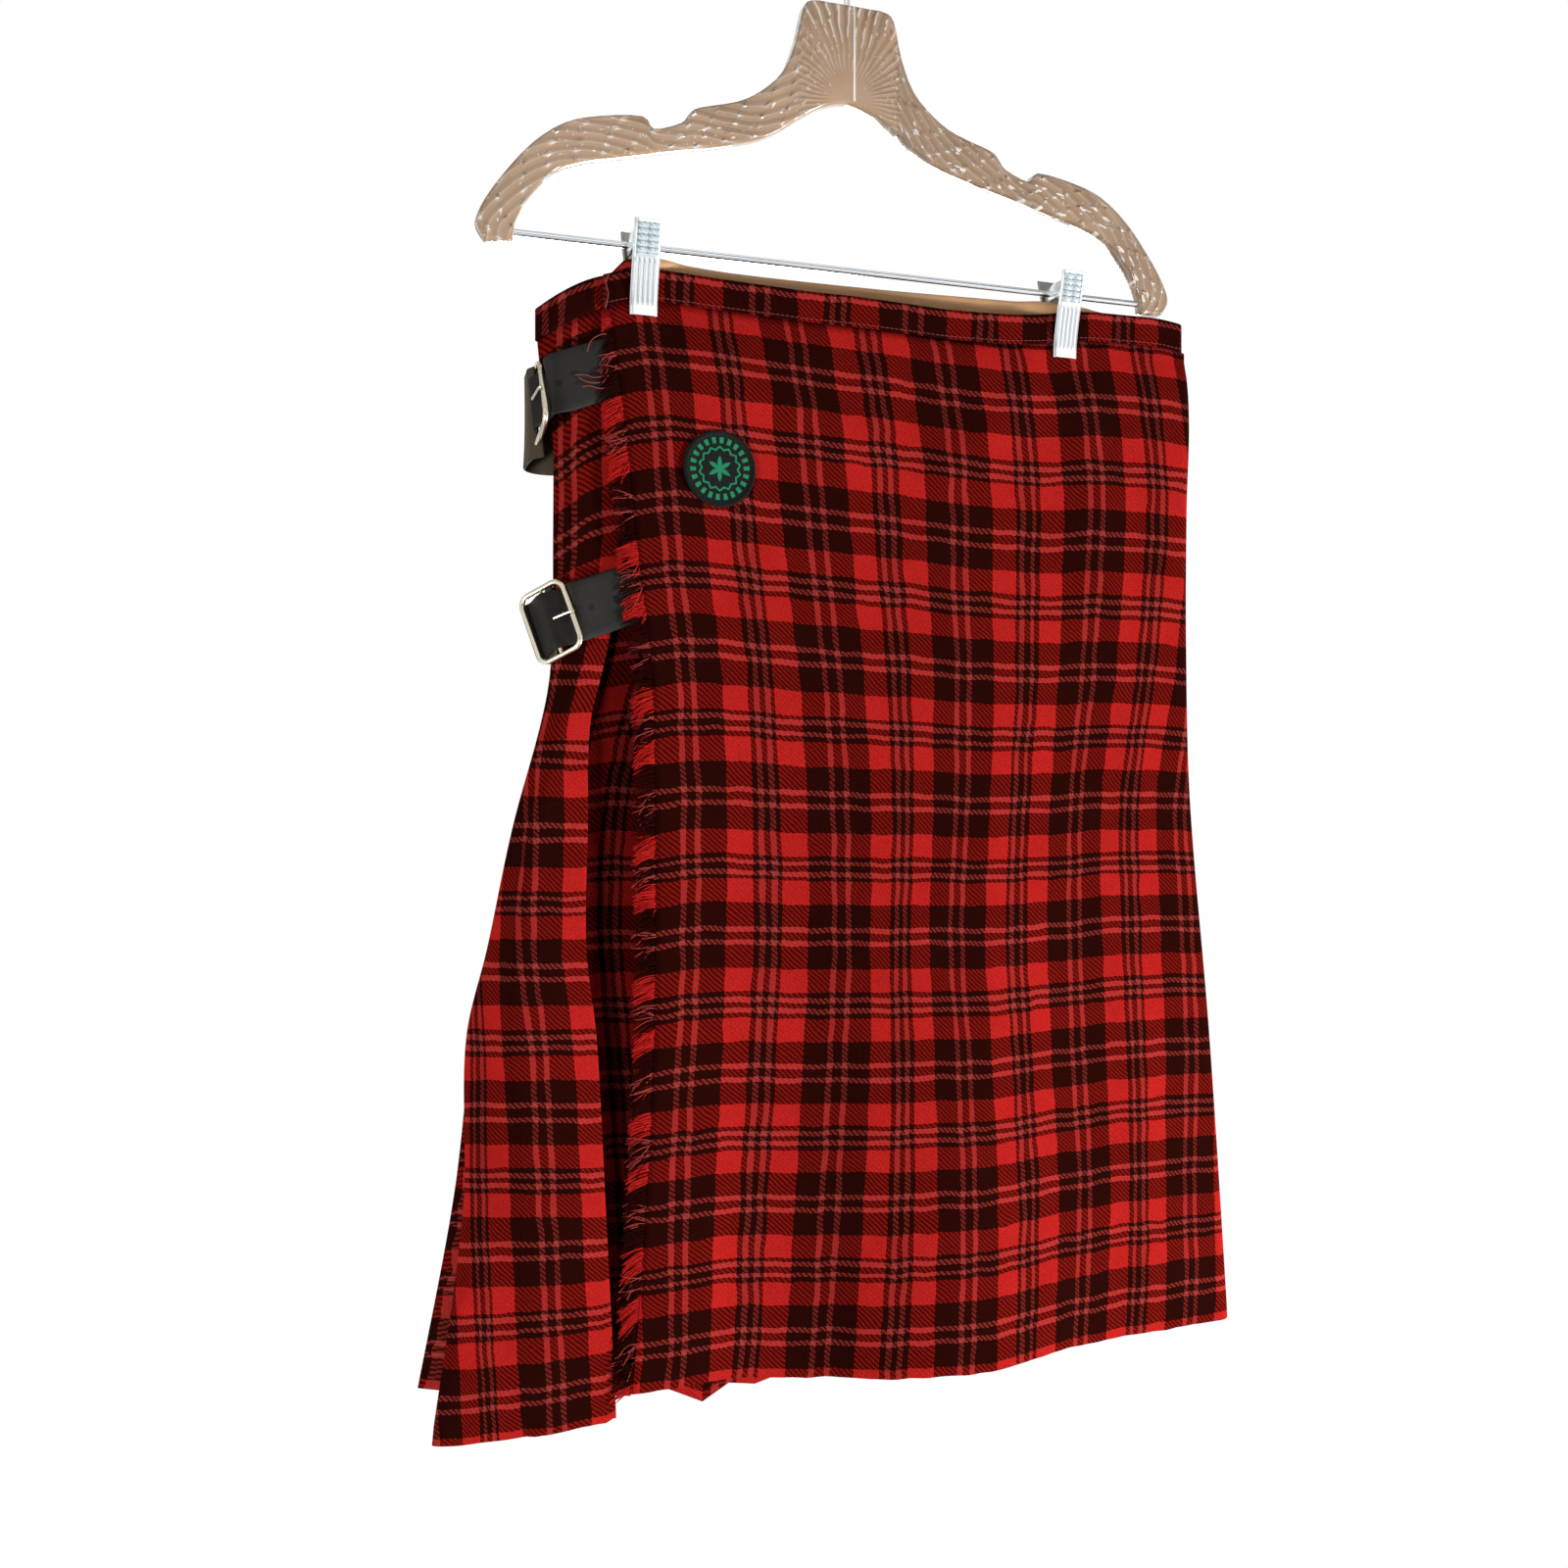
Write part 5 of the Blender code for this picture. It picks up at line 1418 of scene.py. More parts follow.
        levels = Levels(plan, PLEAT_HIGH_Z, PLEAT_LOW_Z, BACK_LEVELS)
        coarse = form.pleat_plan(PLEAT_HIGH_Z, first, last)
        carried = [(*p, *q) for p, q in zip(coarse, self.pleat_columns(first, last))]
        columns = split_runs(carried, pleat_run)
        edges = [(form.back_top(x) - sizes.band_height + CLOTH_TUCK, column[2])
                 for (x, _), column in zip(levels.plans[0], columns)]
        rows = levels.rows(edges, BACK_ROWS)
        uvs = self.plain_uvs([[p[3] for p in columns]] * (BACK_ROWS + 1))
        self.sheet(name, rows, uvs, sizes.pleat_wall, run_lengths(coarse)[-1] * 1.1)


# ---- threads ------------------------------------------------------------
SEWING_THREAD = 0.00024     # radius of the thread of the stitches


class Threads:
    """Many small tubes in one piece, gathered in bundles to stay quick."""

    bundle: int = 40

    def __init__(self, name: str) -> None:
        """Starts the piece and its first bundle."""
        self.whole, self.part = Maker(name), Maker("bundle")
        self.count = 0

    def add(self, path: Sequence[Point], radii: Sequence[float], sides: int,
            uv_v: float = 0.0) -> None:
        """Adds one tube."""
        self.count += 1
        if self.count % self.bundle == 0:
            self.whole.absorb(self.part)
            self.part = Maker("bundle")
        self.part.tube(path, radii, sides, uv_v=uv_v)

    def sew(self, path: Sequence[Point], out: Point, pitch: float = 0.0030) -> None:
        """Adds a row of machine stitches.

        Args:
            path: the row, on the cloth's surface.
            out: direction that the surface faces.
            pitch: length of a stitch.
        """
        runs = run_lengths(path)
        lift = Vector(out) * SEWING_THREAD
        for k in range(int(runs[-1] / pitch)):
            spots = []
            for t in (0.08, 0.50, 0.92):
                at = (k + t) * pitch
                i = min(bisect.bisect_right(runs, at), len(path) - 1)
                share = (at - runs[i - 1]) / (runs[i] - runs[i - 1])
                spots.append(Vector(path[i - 1]).lerp(Vector(path[i]), share))
            self.add([spots[0] - lift, spots[1] + lift, spots[2] - lift],
                     [SEWING_THREAD] * 3, 5)

    def finish(self, material: Material, slot: str, *nodes: str) -> None:
        """Makes the object."""
        self.whole.absorb(self.part)
        self.whole.finish(material, slot, *nodes)


# ---- fringe -------------------------------------------------------------
@dataclass(frozen=True)
class FringeSizes:
    """Driving sizes of the fringe."""

    strands: int = 1500
    length: float = 0.0150
    thread: float = 0.00030
    curl: float = 0.0003
    line_curl: float = 0.0012
    fallen_out: float = 0.45
    fuzz: int = 90
    first: float = 0.012
    seed: int = 11


class Fringe:
    """Ravelled wefts along the apron's free edge."""

    def __init__(self, sizes: FringeSizes, cloth: KiltCloth, material: Material) -> None:
        """Keeps the sizes and the apron that it grows from."""
        self.sizes = sizes
        self.edge = [row[0] for row in cloth.apron_rows]
        self.drops = [row[0][1] for row in cloth.apron_uvs]
        self.material = material
        self.random = random.Random(sizes.seed)

    def at(self, share: float) -> tuple[Vector, float]:
        """Point of the edge and its place along the warp, by share of the edge."""
        place = min(max(share, 0.0), 0.9999) * (len(self.edge) - 1)
        k = int(place)
        t = place - k
        point = Vector(self.edge[k]).lerp(Vector(self.edge[k + 1]), t)
        return (point + Vector((SHIFT_X, 0, 0)),
                mix(self.drops[k], self.drops[k + 1], t))

    def is_line(self, v: float) -> bool:
        """Whether the weft at a place along the warp is one of the thin light lines."""
        phase, at = (v / SETT % 1.0) * SETT_WHOLE, 0.0
        for yarn, width in SETT_BANDS:
            at += width
            if phase < at:
                return yarn is Yarn.LINE
        return False

    def strand(self, maker: Threads, share: float, tip: Vector, droop: float,
               curl: float) -> None:
        """One thread from the edge to its tip.

        Args:
            maker: the piece's mesh.
            share: its root's share of the edge.
            tip: its tip from its root.
            droop: how far its middle lies above the straight line.
            curl: how far it waves.
        """
        root, v = self.at(share)
        root = root + Vector((0.0006, self.random.uniform(-0.0003, 0.0003), 0))
        path, radii = [], []
        turn = self.random.uniform(0, 2 * math.pi)
        for t in spread(0.0, 1.0, 5):
            wave = Vector((0, math.sin(turn + t * 5.0), math.cos(turn + t * 4.0)))
            path.append(root + tip * t + Vector((0, 0, droop * 4 * t * (1 - t)))
                        + wave * (curl * t))
            radii.append(self.sizes.thread * (1.0 - 0.45 * t * t))
        maker.add(path, radii, 4, v)

    def combed(self, maker: Threads) -> None:
        """Strands whose lie drifts down the edge, some of the light ones fallen out."""
        sizes, rnd = self.sizes, self.random
        for k in range(sizes.strands):
            share = mix(sizes.first, 1.0, (k + rnd.random()) / sizes.strands)
            at = share * 42.0
            lie = noise.noise(Vector((at, 0.5, 2.0))) + 0.5 * noise.noise(
                Vector((at * 3.1, 4.0, 1.0)))
            bunch = noise.noise(Vector((at * 7.0, 9.0, 3.0)))
            fall = math.radians(24 + 26 * lie + 15 * bunch + rnd.gauss(0, 4))
            length = sizes.length * (1 + 0.14 * bunch + 0.10 * lie)
            length *= rnd.uniform(0.86, 1.04) * mix(0.45, 1.0, smoothstep(share / 0.09))
            curl = sizes.curl
            if self.is_line(self.at(share)[1]):
                if rnd.random() < sizes.fallen_out:
                    continue
                fall += math.radians(rnd.gauss(0, 17))
                curl = sizes.line_curl
            tip = Vector((-math.cos(fall), 0, -math.sin(fall))) * length
            tip.y = 0.0005 + 0.0016 * bunch + rnd.gauss(0, 0.0005)
            self.strand(maker, share, tip, rnd.uniform(0.0006, 0.0016), curl)

    def strays(self, maker: Threads) -> None:
        """A few strands that lie any way."""
        sizes, rnd = self.sizes, self.random
        for _ in range(sizes.fuzz):
            fall = math.radians(rnd.uniform(-10, 75))
            tip = Vector((-math.cos(fall), rnd.uniform(-0.25, 0.1), -math.sin(fall)))
            share = mix(sizes.first * 2, 1.0, rnd.random())
            self.strand(maker, share, tip * sizes.length * rnd.uniform(0.5, 1.0),
                        rnd.uniform(-0.001, 0.002), rnd.uniform(0.0006, 0.0018))

    def build(self) -> None:
        """All the strands."""
        maker = Threads("apron_fringe")
        self.combed(maker)
        self.strays(maker)
        maker.finish(self.material, "tartan", "apron_fringe")


# ---- waistband ----------------------------------------------------------
def side_axes(path: Sequence[Point], slope: float = 0.0, reach: int = 1) -> list[tuple]:
    """Across and outward directions at each point of a plan path.

    Args:
        path: its points, whose first two values are their place in plan.
        slope: how far the path falls over its run.
        reach: how many points apart the run's direction is read.

    Returns:
        Across and outward vectors; outward is to the left of the run.
    """
    made = []
    for i in range(len(path)):
        a = Vector(path[max(i - reach, 0)][:2])
        b = Vector(path[min(i + reach, len(path) - 1)][:2])
        run = (b - a).normalized()
        along = Vector((run.x, run.y, -slope)).normalized()
        outward = Vector((-run.y, run.x, 0))
        made.append((along.cross(outward), outward))
    return made


def flat_section(width: float, thickness: float) -> list[tuple]:
    """Closed outline of a strip with round edges, as across and outward values."""
    half, r = width / 2 - thickness / 2, thickness / 2
    outline = []
    for end in (1, -1):
        outline += [(x, end * r) for x in spread(-end * half, end * half, 8)]
        outline += [(end * (half + r * math.sin(t)), end * r * math.cos(t))
                    for t in (math.pi / 4, math.pi / 2, 3 * math.pi / 4)]
    return outline + [outline[0]]


def strip(maker: Maker, middles: Sequence[Vector], axes: Sequence[tuple],
          section: Sequence[tuple], us: Sequence[float], v_at: float) -> None:
    """Sweeps a closed section along a strip and caps its ends.

    Args:
        maker: the piece's mesh.
        middles: the strip's middle line.
        axes: across and outward at each point.
        section: across and outward values of the outline.
        us: U at each point.
        v_at: V of the strip's middle.
    """
    rows, uvs = [], []
    for middle, (across, outward), u in zip(middles, axes, us):
        rows.append([middle + across * a + outward * o for a, o in section])
        uvs.append([(u, v_at - a) for a, _ in section])
    maker.close(maker.grid(rows, uvs, wrap=True), len(section) + 1)


@dataclass(frozen=True)
class BandSizes:
    """Driving sizes of the waistband."""

    wall: float = 0.0020
    front_y: float = -0.0032
    turn_radius: float = 0.0040
    lap: float = 0.024
    end_x: float = -0.1375
    facing_wall: float = 0.0008
    facing_start: float = -0.135
    facing_stop: float = 0.198
    facing_drop: float = 0.0008
    facing_deepest_y: float = 0.012
    first_pair: float = 0.092
    back_pair: float = 0.030
    period: float = 0.0965
    edge_v: float = 0.0004
    ripple: float = 0.0004
    back_inset: float = 0.0006
    pinched_y: float = 0.0002
    seam_rise: float = 0.0022
    loose_thread: float = 0.00030


@dataclass
class Waistband:
    """Band of the front and the back, and the tape that faces the back's."""

    sizes: BandSizes
    form: KiltForm
    tartan: Material
    tape: Material
    thread: Material

    def front_path(self) -> list[tuple]:
        """Plan and top height, over the over apron and round the left hip."""
        form, sizes = self.form, self.sizes
        radius = sizes.turn_radius
        bend = RIGHT_X - form.wrap_radius(BAND_END_Z)
        path = []
        for x in spread(LEFT_X, bend, 90):
            wave = noise.noise(Vector((x * 38, 1.7, 0))) * sizes.ripple
            path.append((x, sizes.front_y - abs(wave), form.front_top(x) + wave * 0.8))
        turned = arc_points(bend, sizes.front_y + radius, radius, -75, 90, 15)
        turned += [(RIGHT_X - sizes.lap * k / 4, sizes.front_y + 2 * radius + sizes.pinched_y)
                   for k in range(1, 5)]
        return path + [(x, y, form.front_top(x)) for x, y in turned]

    def back_y(self, x: float) -> float:
        """Middle of the back's band, pressed to the front at the clips."""
        free = self.form.back_y(x, PLEAT_HIGH_Z) - self.sizes.back_inset
        return mix(free, self.sizes.pinched_y, self.form.clip_pinch(x))

    def back_path(self) -> list[tuple]:
        """Plan and top height of the back's band, with its drooping end."""
        form, start = self.form, self.sizes.end_x
        stop = RIGHT_X - self.sizes.lap - form.sizes.clearance
        plan = soft_path(BAND_TURN, 5)
        plan += [(x, self.back_y(x)) for x in spread(start, stop, 80)]
        return [(x, y, form.band_end_top(x, y) if x < start else form.back_top(x))
                for x, y in plan]

    def band(self, name: str, path: list[tuple], start: float) -> None:
        """One length of band, folded over at its top."""
        height = self.form.sizes.band_height
        maker = Maker(name)
        middles = [placed(x, y, z - height / 2) for x, y, z in path]
        scale = SETT / self.sizes.period
        runs = plan_lengths(path)
        strip(maker, middles, side_axes(path), flat_section(height, self.sizes.wall),
              [(run - start) * scale for run in runs], height / 2 + self.sizes.edge_v)
        obj = maker.finish(self.tartan, "tartan", name)

    def facing(self, path: list[tuple]) -> None:
        """Woven tape inside the back's band."""
        sizes = self.sizes
        apart = sizes.wall / 2 + sizes.facing_wall / 2 + self.form.sizes.clearance
        kept = [(p, axes[1]) for p, axes in zip(path, side_axes(path))
                if sizes.facing_start < p[0] < sizes.facing_stop
                and p[1] < sizes.facing_deepest_y]
        height = self.form.sizes.band_height - sizes.facing_drop
        runs = plan_lengths([p for p, _ in kept])
        rows, uvs = [], []
        for k in range(7):
            down = height * k / 6
            rows.append([(x - out.x * apart, y - out.y * apart,
                          z - sizes.facing_drop - down) for (x, y, z), out in kept])
            uvs.append([(run, down) for run in runs])
        maker = Maker("waist_facing")
        maker.grid(shifted(rows), uvs)
        obj = maker.finish(self.tape, "facing_tape", "waist_facing")
        wall(obj, sizes.facing_wall)

    def seam(self, path: list[tuple]) -> None:
        """Stitches along the front band's lower edge, and its end's loose threads."""
        threads = Threads("waistband_sewing")
        up = self.form.sizes.band_height - self.sizes.seam_rise
        out = self.sizes.wall / 2
        line = [(x + SHIFT_X, y - out, z - up) for x, y, z in path if y < 0.0]
        threads.sew(line, (0, -1, 0))
        for points in LOOSE_THREADS:
            line = soft_path([(x * MM + SHIFT_X, y * MM, z * MM) for x, y, z in points],
                             6)
            threads.add(line, [self.sizes.loose_thread] * len(line), 5)
        threads.finish(self.thread, "tartan")

    def build(self) -> None:
        """The bands, the sewing and the facing."""
        front, back = self.front_path(), self.back_path()
        self.band("waistband_front", front, self.sizes.first_pair)
        self.seam(front)
        self.band("waistband_back", back, self.sizes.back_pair)
        self.facing(back)


# ---- straps and buckles -------------------------------------------------
AXES_REACH = 3              # points between which a strap's direction is read


@dataclass(frozen=True)
class FasteningSizes:
    """Driving sizes of the straps, tabs and buckles."""

    strap_width: float = 0.0330
    strap_wall: float = 0.0020
    tab_wall: float = 0.0016
    tab_ends: tuple = (-0.1640, -0.1560, -0.147)
    tab_below: float = 0.015
    tab_rise: float = 0.0006
    tab_slope: float = 0.35
    tab_sewn: int = 15
    buckle_height: float = 0.0430
    buckle_length: float = 0.0325
    frame_wire: float = 0.0032
    bar_wire: float = 0.0022
    tongue_wire: float = 0.0020
    corner: float = 0.006
    sewn_inset: float = 0.0030
    frame_turn: float = -3.0
    path_steps: int = 5
    take_up: float = 1.04


@dataclass
class Fastening:
    """One strap with its buckle and the tab that carries it."""

    sizes: FasteningSizes
    route: Route
    form: KiltForm
    leather: Material
    tab_leather: Material
    metal: Material
    thread: Material

    def ribbon(self, name: str, plan: list[tuple], heights: list[float], slope: float,
               width: float, thickness: float, material: Material) -> None:
        """Leather of one width along a plan path that slopes as it runs."""
        axes = side_axes(plan, slope, AXES_REACH)
        middles = [placed(x, y, z) + axis[1] * rise
                   for (x, y, rise), z, axis in zip(plan, heights, axes)]
        maker = Maker(name)
        runs = plan_lengths(plan)
        strip(maker, middles, axes, flat_section(width, thickness), runs, 0.0)
        obj = maker.finish(material, "strap_leather", name)

    def strap(self) -> None:
        """The strap, threaded through its buckle."""
        route, steps = self.route, self.sizes.path_steps
        turn = math.radians(route.turn)
        cos, sin = math.cos(turn), math.sin(turn)
        threaded = [(route.frame_x + a * cos - UNDER_FRAME * sin,
                     route.frame_y + a * sin + UNDER_FRAME * cos, rise)
                    for a, rise in THREADING]
        before, after = [[(x, y, 0) for x, y in way]
                         for way in (route.before, route.after)]
        points = [tuple(MM * value for value in p) for p in before + threaded + after]
        plan = soft_path(points, steps)
        runs = plan_lengths(plan)
        at = steps * (len(before) + len(THREADING) // 2) - steps // 2
        heights = [route.frame_z - route.slope * (run - runs[at]) for run in runs]
        self.ribbon(f"strap_{route.name}", plan, heights, route.slope,
                    self.sizes.strap_width, self.sizes.strap_wall, self.leather)

    def tab(self) -> None:
        """The tab from the centre bar on to the pleated back."""
        route, sizes = self.route, self.sizes
        points = [(x * MM, y * MM, 0) for x, y in route.tab]
        clear = (self.form.sizes.pleat_wall + sizes.tab_wall) / 2
        for x in sizes.tab_ends:
            y = self.form.back_y(x, route.frame_z - sizes.tab_below) + clear
            points.append((x, y + sizes.tab_rise, 0))
        plan = soft_path(points, sizes.path_steps)
        drop = route.slope * sizes.tab_slope
        heights = [route.frame_z - route.tab_lower - drop * run
                   for run in plan_lengths(plan)]
        self.ribbon(f"buckle_tab_{route.name}", plan, heights, drop, route.tab_width,
                    sizes.tab_wall, self.tab_leather)
        stations = list(zip(plan, heights, side_axes(plan, drop, AXES_REACH)))
        self.tab_sewing(stations[-sizes.tab_sewn:-1])

    def tab_sewing(self, stations: list[tuple]) -> None:
        """Stitches round the part of the tab that lies on the back."""
        threads = Threads(f"tab_sewing_{self.route.name}")
        inset = self.route.tab_width / 2 - self.sizes.sewn_inset
        lift = self.sizes.tab_wall / 2
        for edge in (-inset, inset):
            line = [placed(x, y, z) + across * edge + out * lift
                    for (x, y, _), z, (across, out) in stations]
            threads.sew(line, stations[-1][2][1])
        for (x, y, _), z, (across, out) in (stations[0], stations[-1]):
            middle = placed(x, y, z) + out * lift
            threads.sew([middle - across * inset, middle + across * inset], out)
        threads.finish(self.thread, "strap_leather")

    def buckle(self) -> None:
        """Frame with its centre bar, and the tongue over the near side."""
        route, sizes = self.route, self.sizes
        turn = math.radians(route.turn)
        run = Vector((math.cos(turn), math.sin(turn), 0))
        outward = Vector((-run.y, run.x, 0))
        along = Vector((run.x, run.y, -route.slope)).normalized()
        across = along.cross(outward)
        middle = placed(route.frame_x * MM, route.frame_y * MM, route.frame_z)
        half_l = (sizes.buckle_length - sizes.frame_wire) / 2
        half_h = (sizes.buckle_height - sizes.frame_wire) / 2
        lean = math.radians(sizes.frame_turn)
        wide = along * math.cos(lean) + across * math.sin(lean)
        tall = across * math.cos(lean) - along * math.sin(lean)
        ring = []
        for sx, sy, start in ((1, 1, 0), (-1, 1, 90), (-1, -1, 180), (1, -1, 270)):
            corner = arc_points(sx * (half_l - sizes.corner), sy * (half_h - sizes.corner),
                                sizes.corner, start, start + 90, 15)
            ring += [middle + wide * a + tall * b for a, b in corner]
        maker = Maker(f"buckle_{route.name}")
        maker.tube(ring, [sizes.frame_wire / 2] * len(ring), 12, closed=True)
        bar = [middle + tall * b for b in spread(half_h, -half_h, 4)]
        maker.tube(bar, [sizes.bar_wire / 2] * len(bar), 10)
        maker.finish(self.metal, "buckle_metal", f"buckle_{route.name}")
        over = sizes.frame_wire / 2 + sizes.tongue_wire / 2
        profile = [(-0.0045, 0.0037), (-0.0072, 0.0034), (-0.0105, over + 0.0004),
                   (-0.0146, over), (-0.0165, over - 0.0003), (-0.0173, over - 0.0008)]
        tongue = [middle + along * a + outward * b for a, b in soft_path(profile, 3)]
        radii = [sizes.tongue_wire / 2 * (1 - 0.3 * t ** 2) for t in spread(0.0, 1.0, 15)]
        maker = Maker(f"buckle_tongue_{route.name}")
        maker.tube(tongue, radii, 10)
        maker.finish(self.metal, "buckle_metal", f"buckle_tongue_{route.name}")

    def build(self) -> None:
        """Strap, tab and buckle."""
        self.strap()
        self.tab()
        self.buckle()


# ---- badge --------------------------------------------------------------
@dataclass(frozen=True)
class BadgeSizes:
    """Driving sizes of the round patch."""

    radius: float = 0.0219
    middle_x: float = -0.0834
    middle_z: float = -0.336
    thickness: float = 0.0014
    sewn_inset: float = 0.0030
    stitch: float = 0.0025


@dataclass
class Badge:
    """Round patch with an overlocked edge, on the apron's front."""

    sizes: BadgeSizes
    form: KiltForm
    material: Material
    thread: Material

    def build(self) -> None:
        """A turned profile laid on the cloth's front."""
        sizes, form = self.sizes, self.form
        r, t = sizes.radius, sizes.thickness
        profile = [(r * share, t) for share in (0.0, 0.25, 0.45, 0.6, 0.72, 0.82)]
        profile += [(r - 0.0025, t), (r - 0.0020, t + 0.0005), (r - 0.0012, t + 0.0008),
                    (r - 0.0004, t + 0.0005), (r, t * 0.6), (r - 0.0003, 0.0),
                    (r * 0.5, 0.0), (0.0, 0.0)]
        rows, uvs = [], []
        for reach, out in profile:
            ring = arc_points(0.0, 0.0, reach, 0, 360, 5)
            row = []
            for across, up in ring:
                x, z = sizes.middle_x + across, sizes.middle_z + up
                y = form.front_y(x, z) - form.front_relief(x, z)
                row.append(placed(x, y - form.sizes.cloth_wall / 2 - out, z))
            rows.append(row)
            uvs.append(ring)
        maker = Maker("round_patch")
        maker.grid(rows, uvs, wrap=True)
        obj = maker.finish(self.material, "patch_cloth", "round_patch")
        threads = Threads("patch_sewing")
        sewn = next(k for k, p in enumerate(profile) if p[0] > r - sizes.sewn_inset)
        threads.sew(rows[sewn], (0, -1, 0), sizes.stitch)
        threads.finish(self.thread, "patch_cloth")


# ---- hanger and clips ---------------------------------------------------
@dataclass(frozen=True)
class HangerSizes:
    """Driving sizes of the hanger and its hook and bar."""

    thickness: float = 0.0085
    rim: float = 0.0014
    wire: float = 0.0017
    hook_radius: float = 0.019
    shank: float = 0.014
    bar_radius: float = 0.0019
    bar_reach: float = 0.207


@dataclass
class Hanger:
    """Moulded clear hanger with its wire hook and clip bar."""

    sizes: HangerSizes
    plastic: Material
    chrome: Material

    def section(self, low: Vector, top: Vector) -> list[tuple]:
        """Closed outline between a lower and an upper point, its edges rounded."""
        up = (top - low).normalized()
        out = Vector((0, -1, 0))
        reach = (top - low).length
        half, r = self.sizes.thickness / 2, min(self.sizes.rim, reach * 0.3)
        flat = spread(r, reach - r, 4)
        outline = [(a, half) for a in flat]
        outline += [(reach - r + r * math.sin(t), half - r + r * math.cos(t))
                    for t in (0.5, 1.05, math.pi / 2)]
        outline += [(reach, -half + r), (reach - r * 0.3, -half + r * 0.3)]
        outline += [(a, -half) for a in reversed(flat)]
        outline += [(r * 0.3, -half + r * 0.3), (0.0, -half + r), (0.0, half - r),
                    (r * 0.13, half - r * 0.5), (r * 0.5, half - r * 0.13)]
        outline.append(outline[0])
        return [(low + up * a + out * b, a - reach / 2) for a, b in outline]

    def body(self) -> None:
        """Sections from one end to the other."""
        right = soft_path([[value * MM for value in s] for s in STATIONS], 3)
        left = [(-top_x, top_z, -low_x, low_z) for top_x, top_z, low_x, low_z in right]
        rows, uvs, middles = [], [], []
        for top_x, top_z, low_x, low_z in left[:0:-1] + right:
            middles.append(((top_x + low_x) / 2, (top_z + low_z) / 2))
            outline = self.section(Vector((low_x, 0, low_z)), Vector((top_x, 0, top_z)))
            rows.append([p for p, _ in outline])
            uvs.append([v for _, v in outline])
        uvs = [[(run, v) for v in row] for run, row in zip(run_lengths(middles), uvs)]
        maker = Maker("hanger_body")
        maker.close(maker.grid(rows, uvs, wrap=True), 40)
        maker.finish(self.plastic, "clear_plastic", "hanger_body")

    def wire(self, name: str, path: list, radii: list[float]) -> None:
        """One chromed wire, as a piece of its own."""
        maker = Maker(name)
        maker.tube(path, radii, 20)
        maker.finish(self.chrome, "chrome", name)

    def hook(self) -> None:
        """Wire from inside the hub, round over the hook saddle."""
        sizes = self.sizes
        bottom = STATIONS[0][1] * MM - sizes.shank
        points = [(0, bottom), (0, bottom + 0.010), (0, -0.047), (0.0012, -0.0425)]
        points += arc_points(0.0, sizes.wire - sizes.hook_radius, sizes.hook_radius,
                             -60, 205, 8)
        path = [(x, 0, z) for x, z in soft_path(points, 3)]
        radii = [sizes.wire] * len(path)
        radii[0] = radii[-1] = sizes.wire * 0.7
        self.wire("hook", path, radii)

    def build(self) -> None:
        """Body, hook and bar."""
        self.body()
        self.hook()
        reach = self.sizes.bar_reach
        bar = [(x, 0, BAR_Z) for x in spread(-reach, reach, 40)]
        self.wire("clip_bar", bar, [self.sizes.bar_radius] * len(bar))


@dataclass(frozen=True)
class ClipSizes:
    """Driving sizes of a clip."""

    width: float = 0.0155
    wall: float = 0.0012
    clearance: float = 0.0003
    knurl: float = 0.0006
    flute: float = 0.0003
    curl: float = 0.0009
    spring_radius: float = 0.0034
    spring_length: float = 0.0096
    spring_wire: float = 0.0011
    spring_turns: int = 6
    turn_steps: int = 18


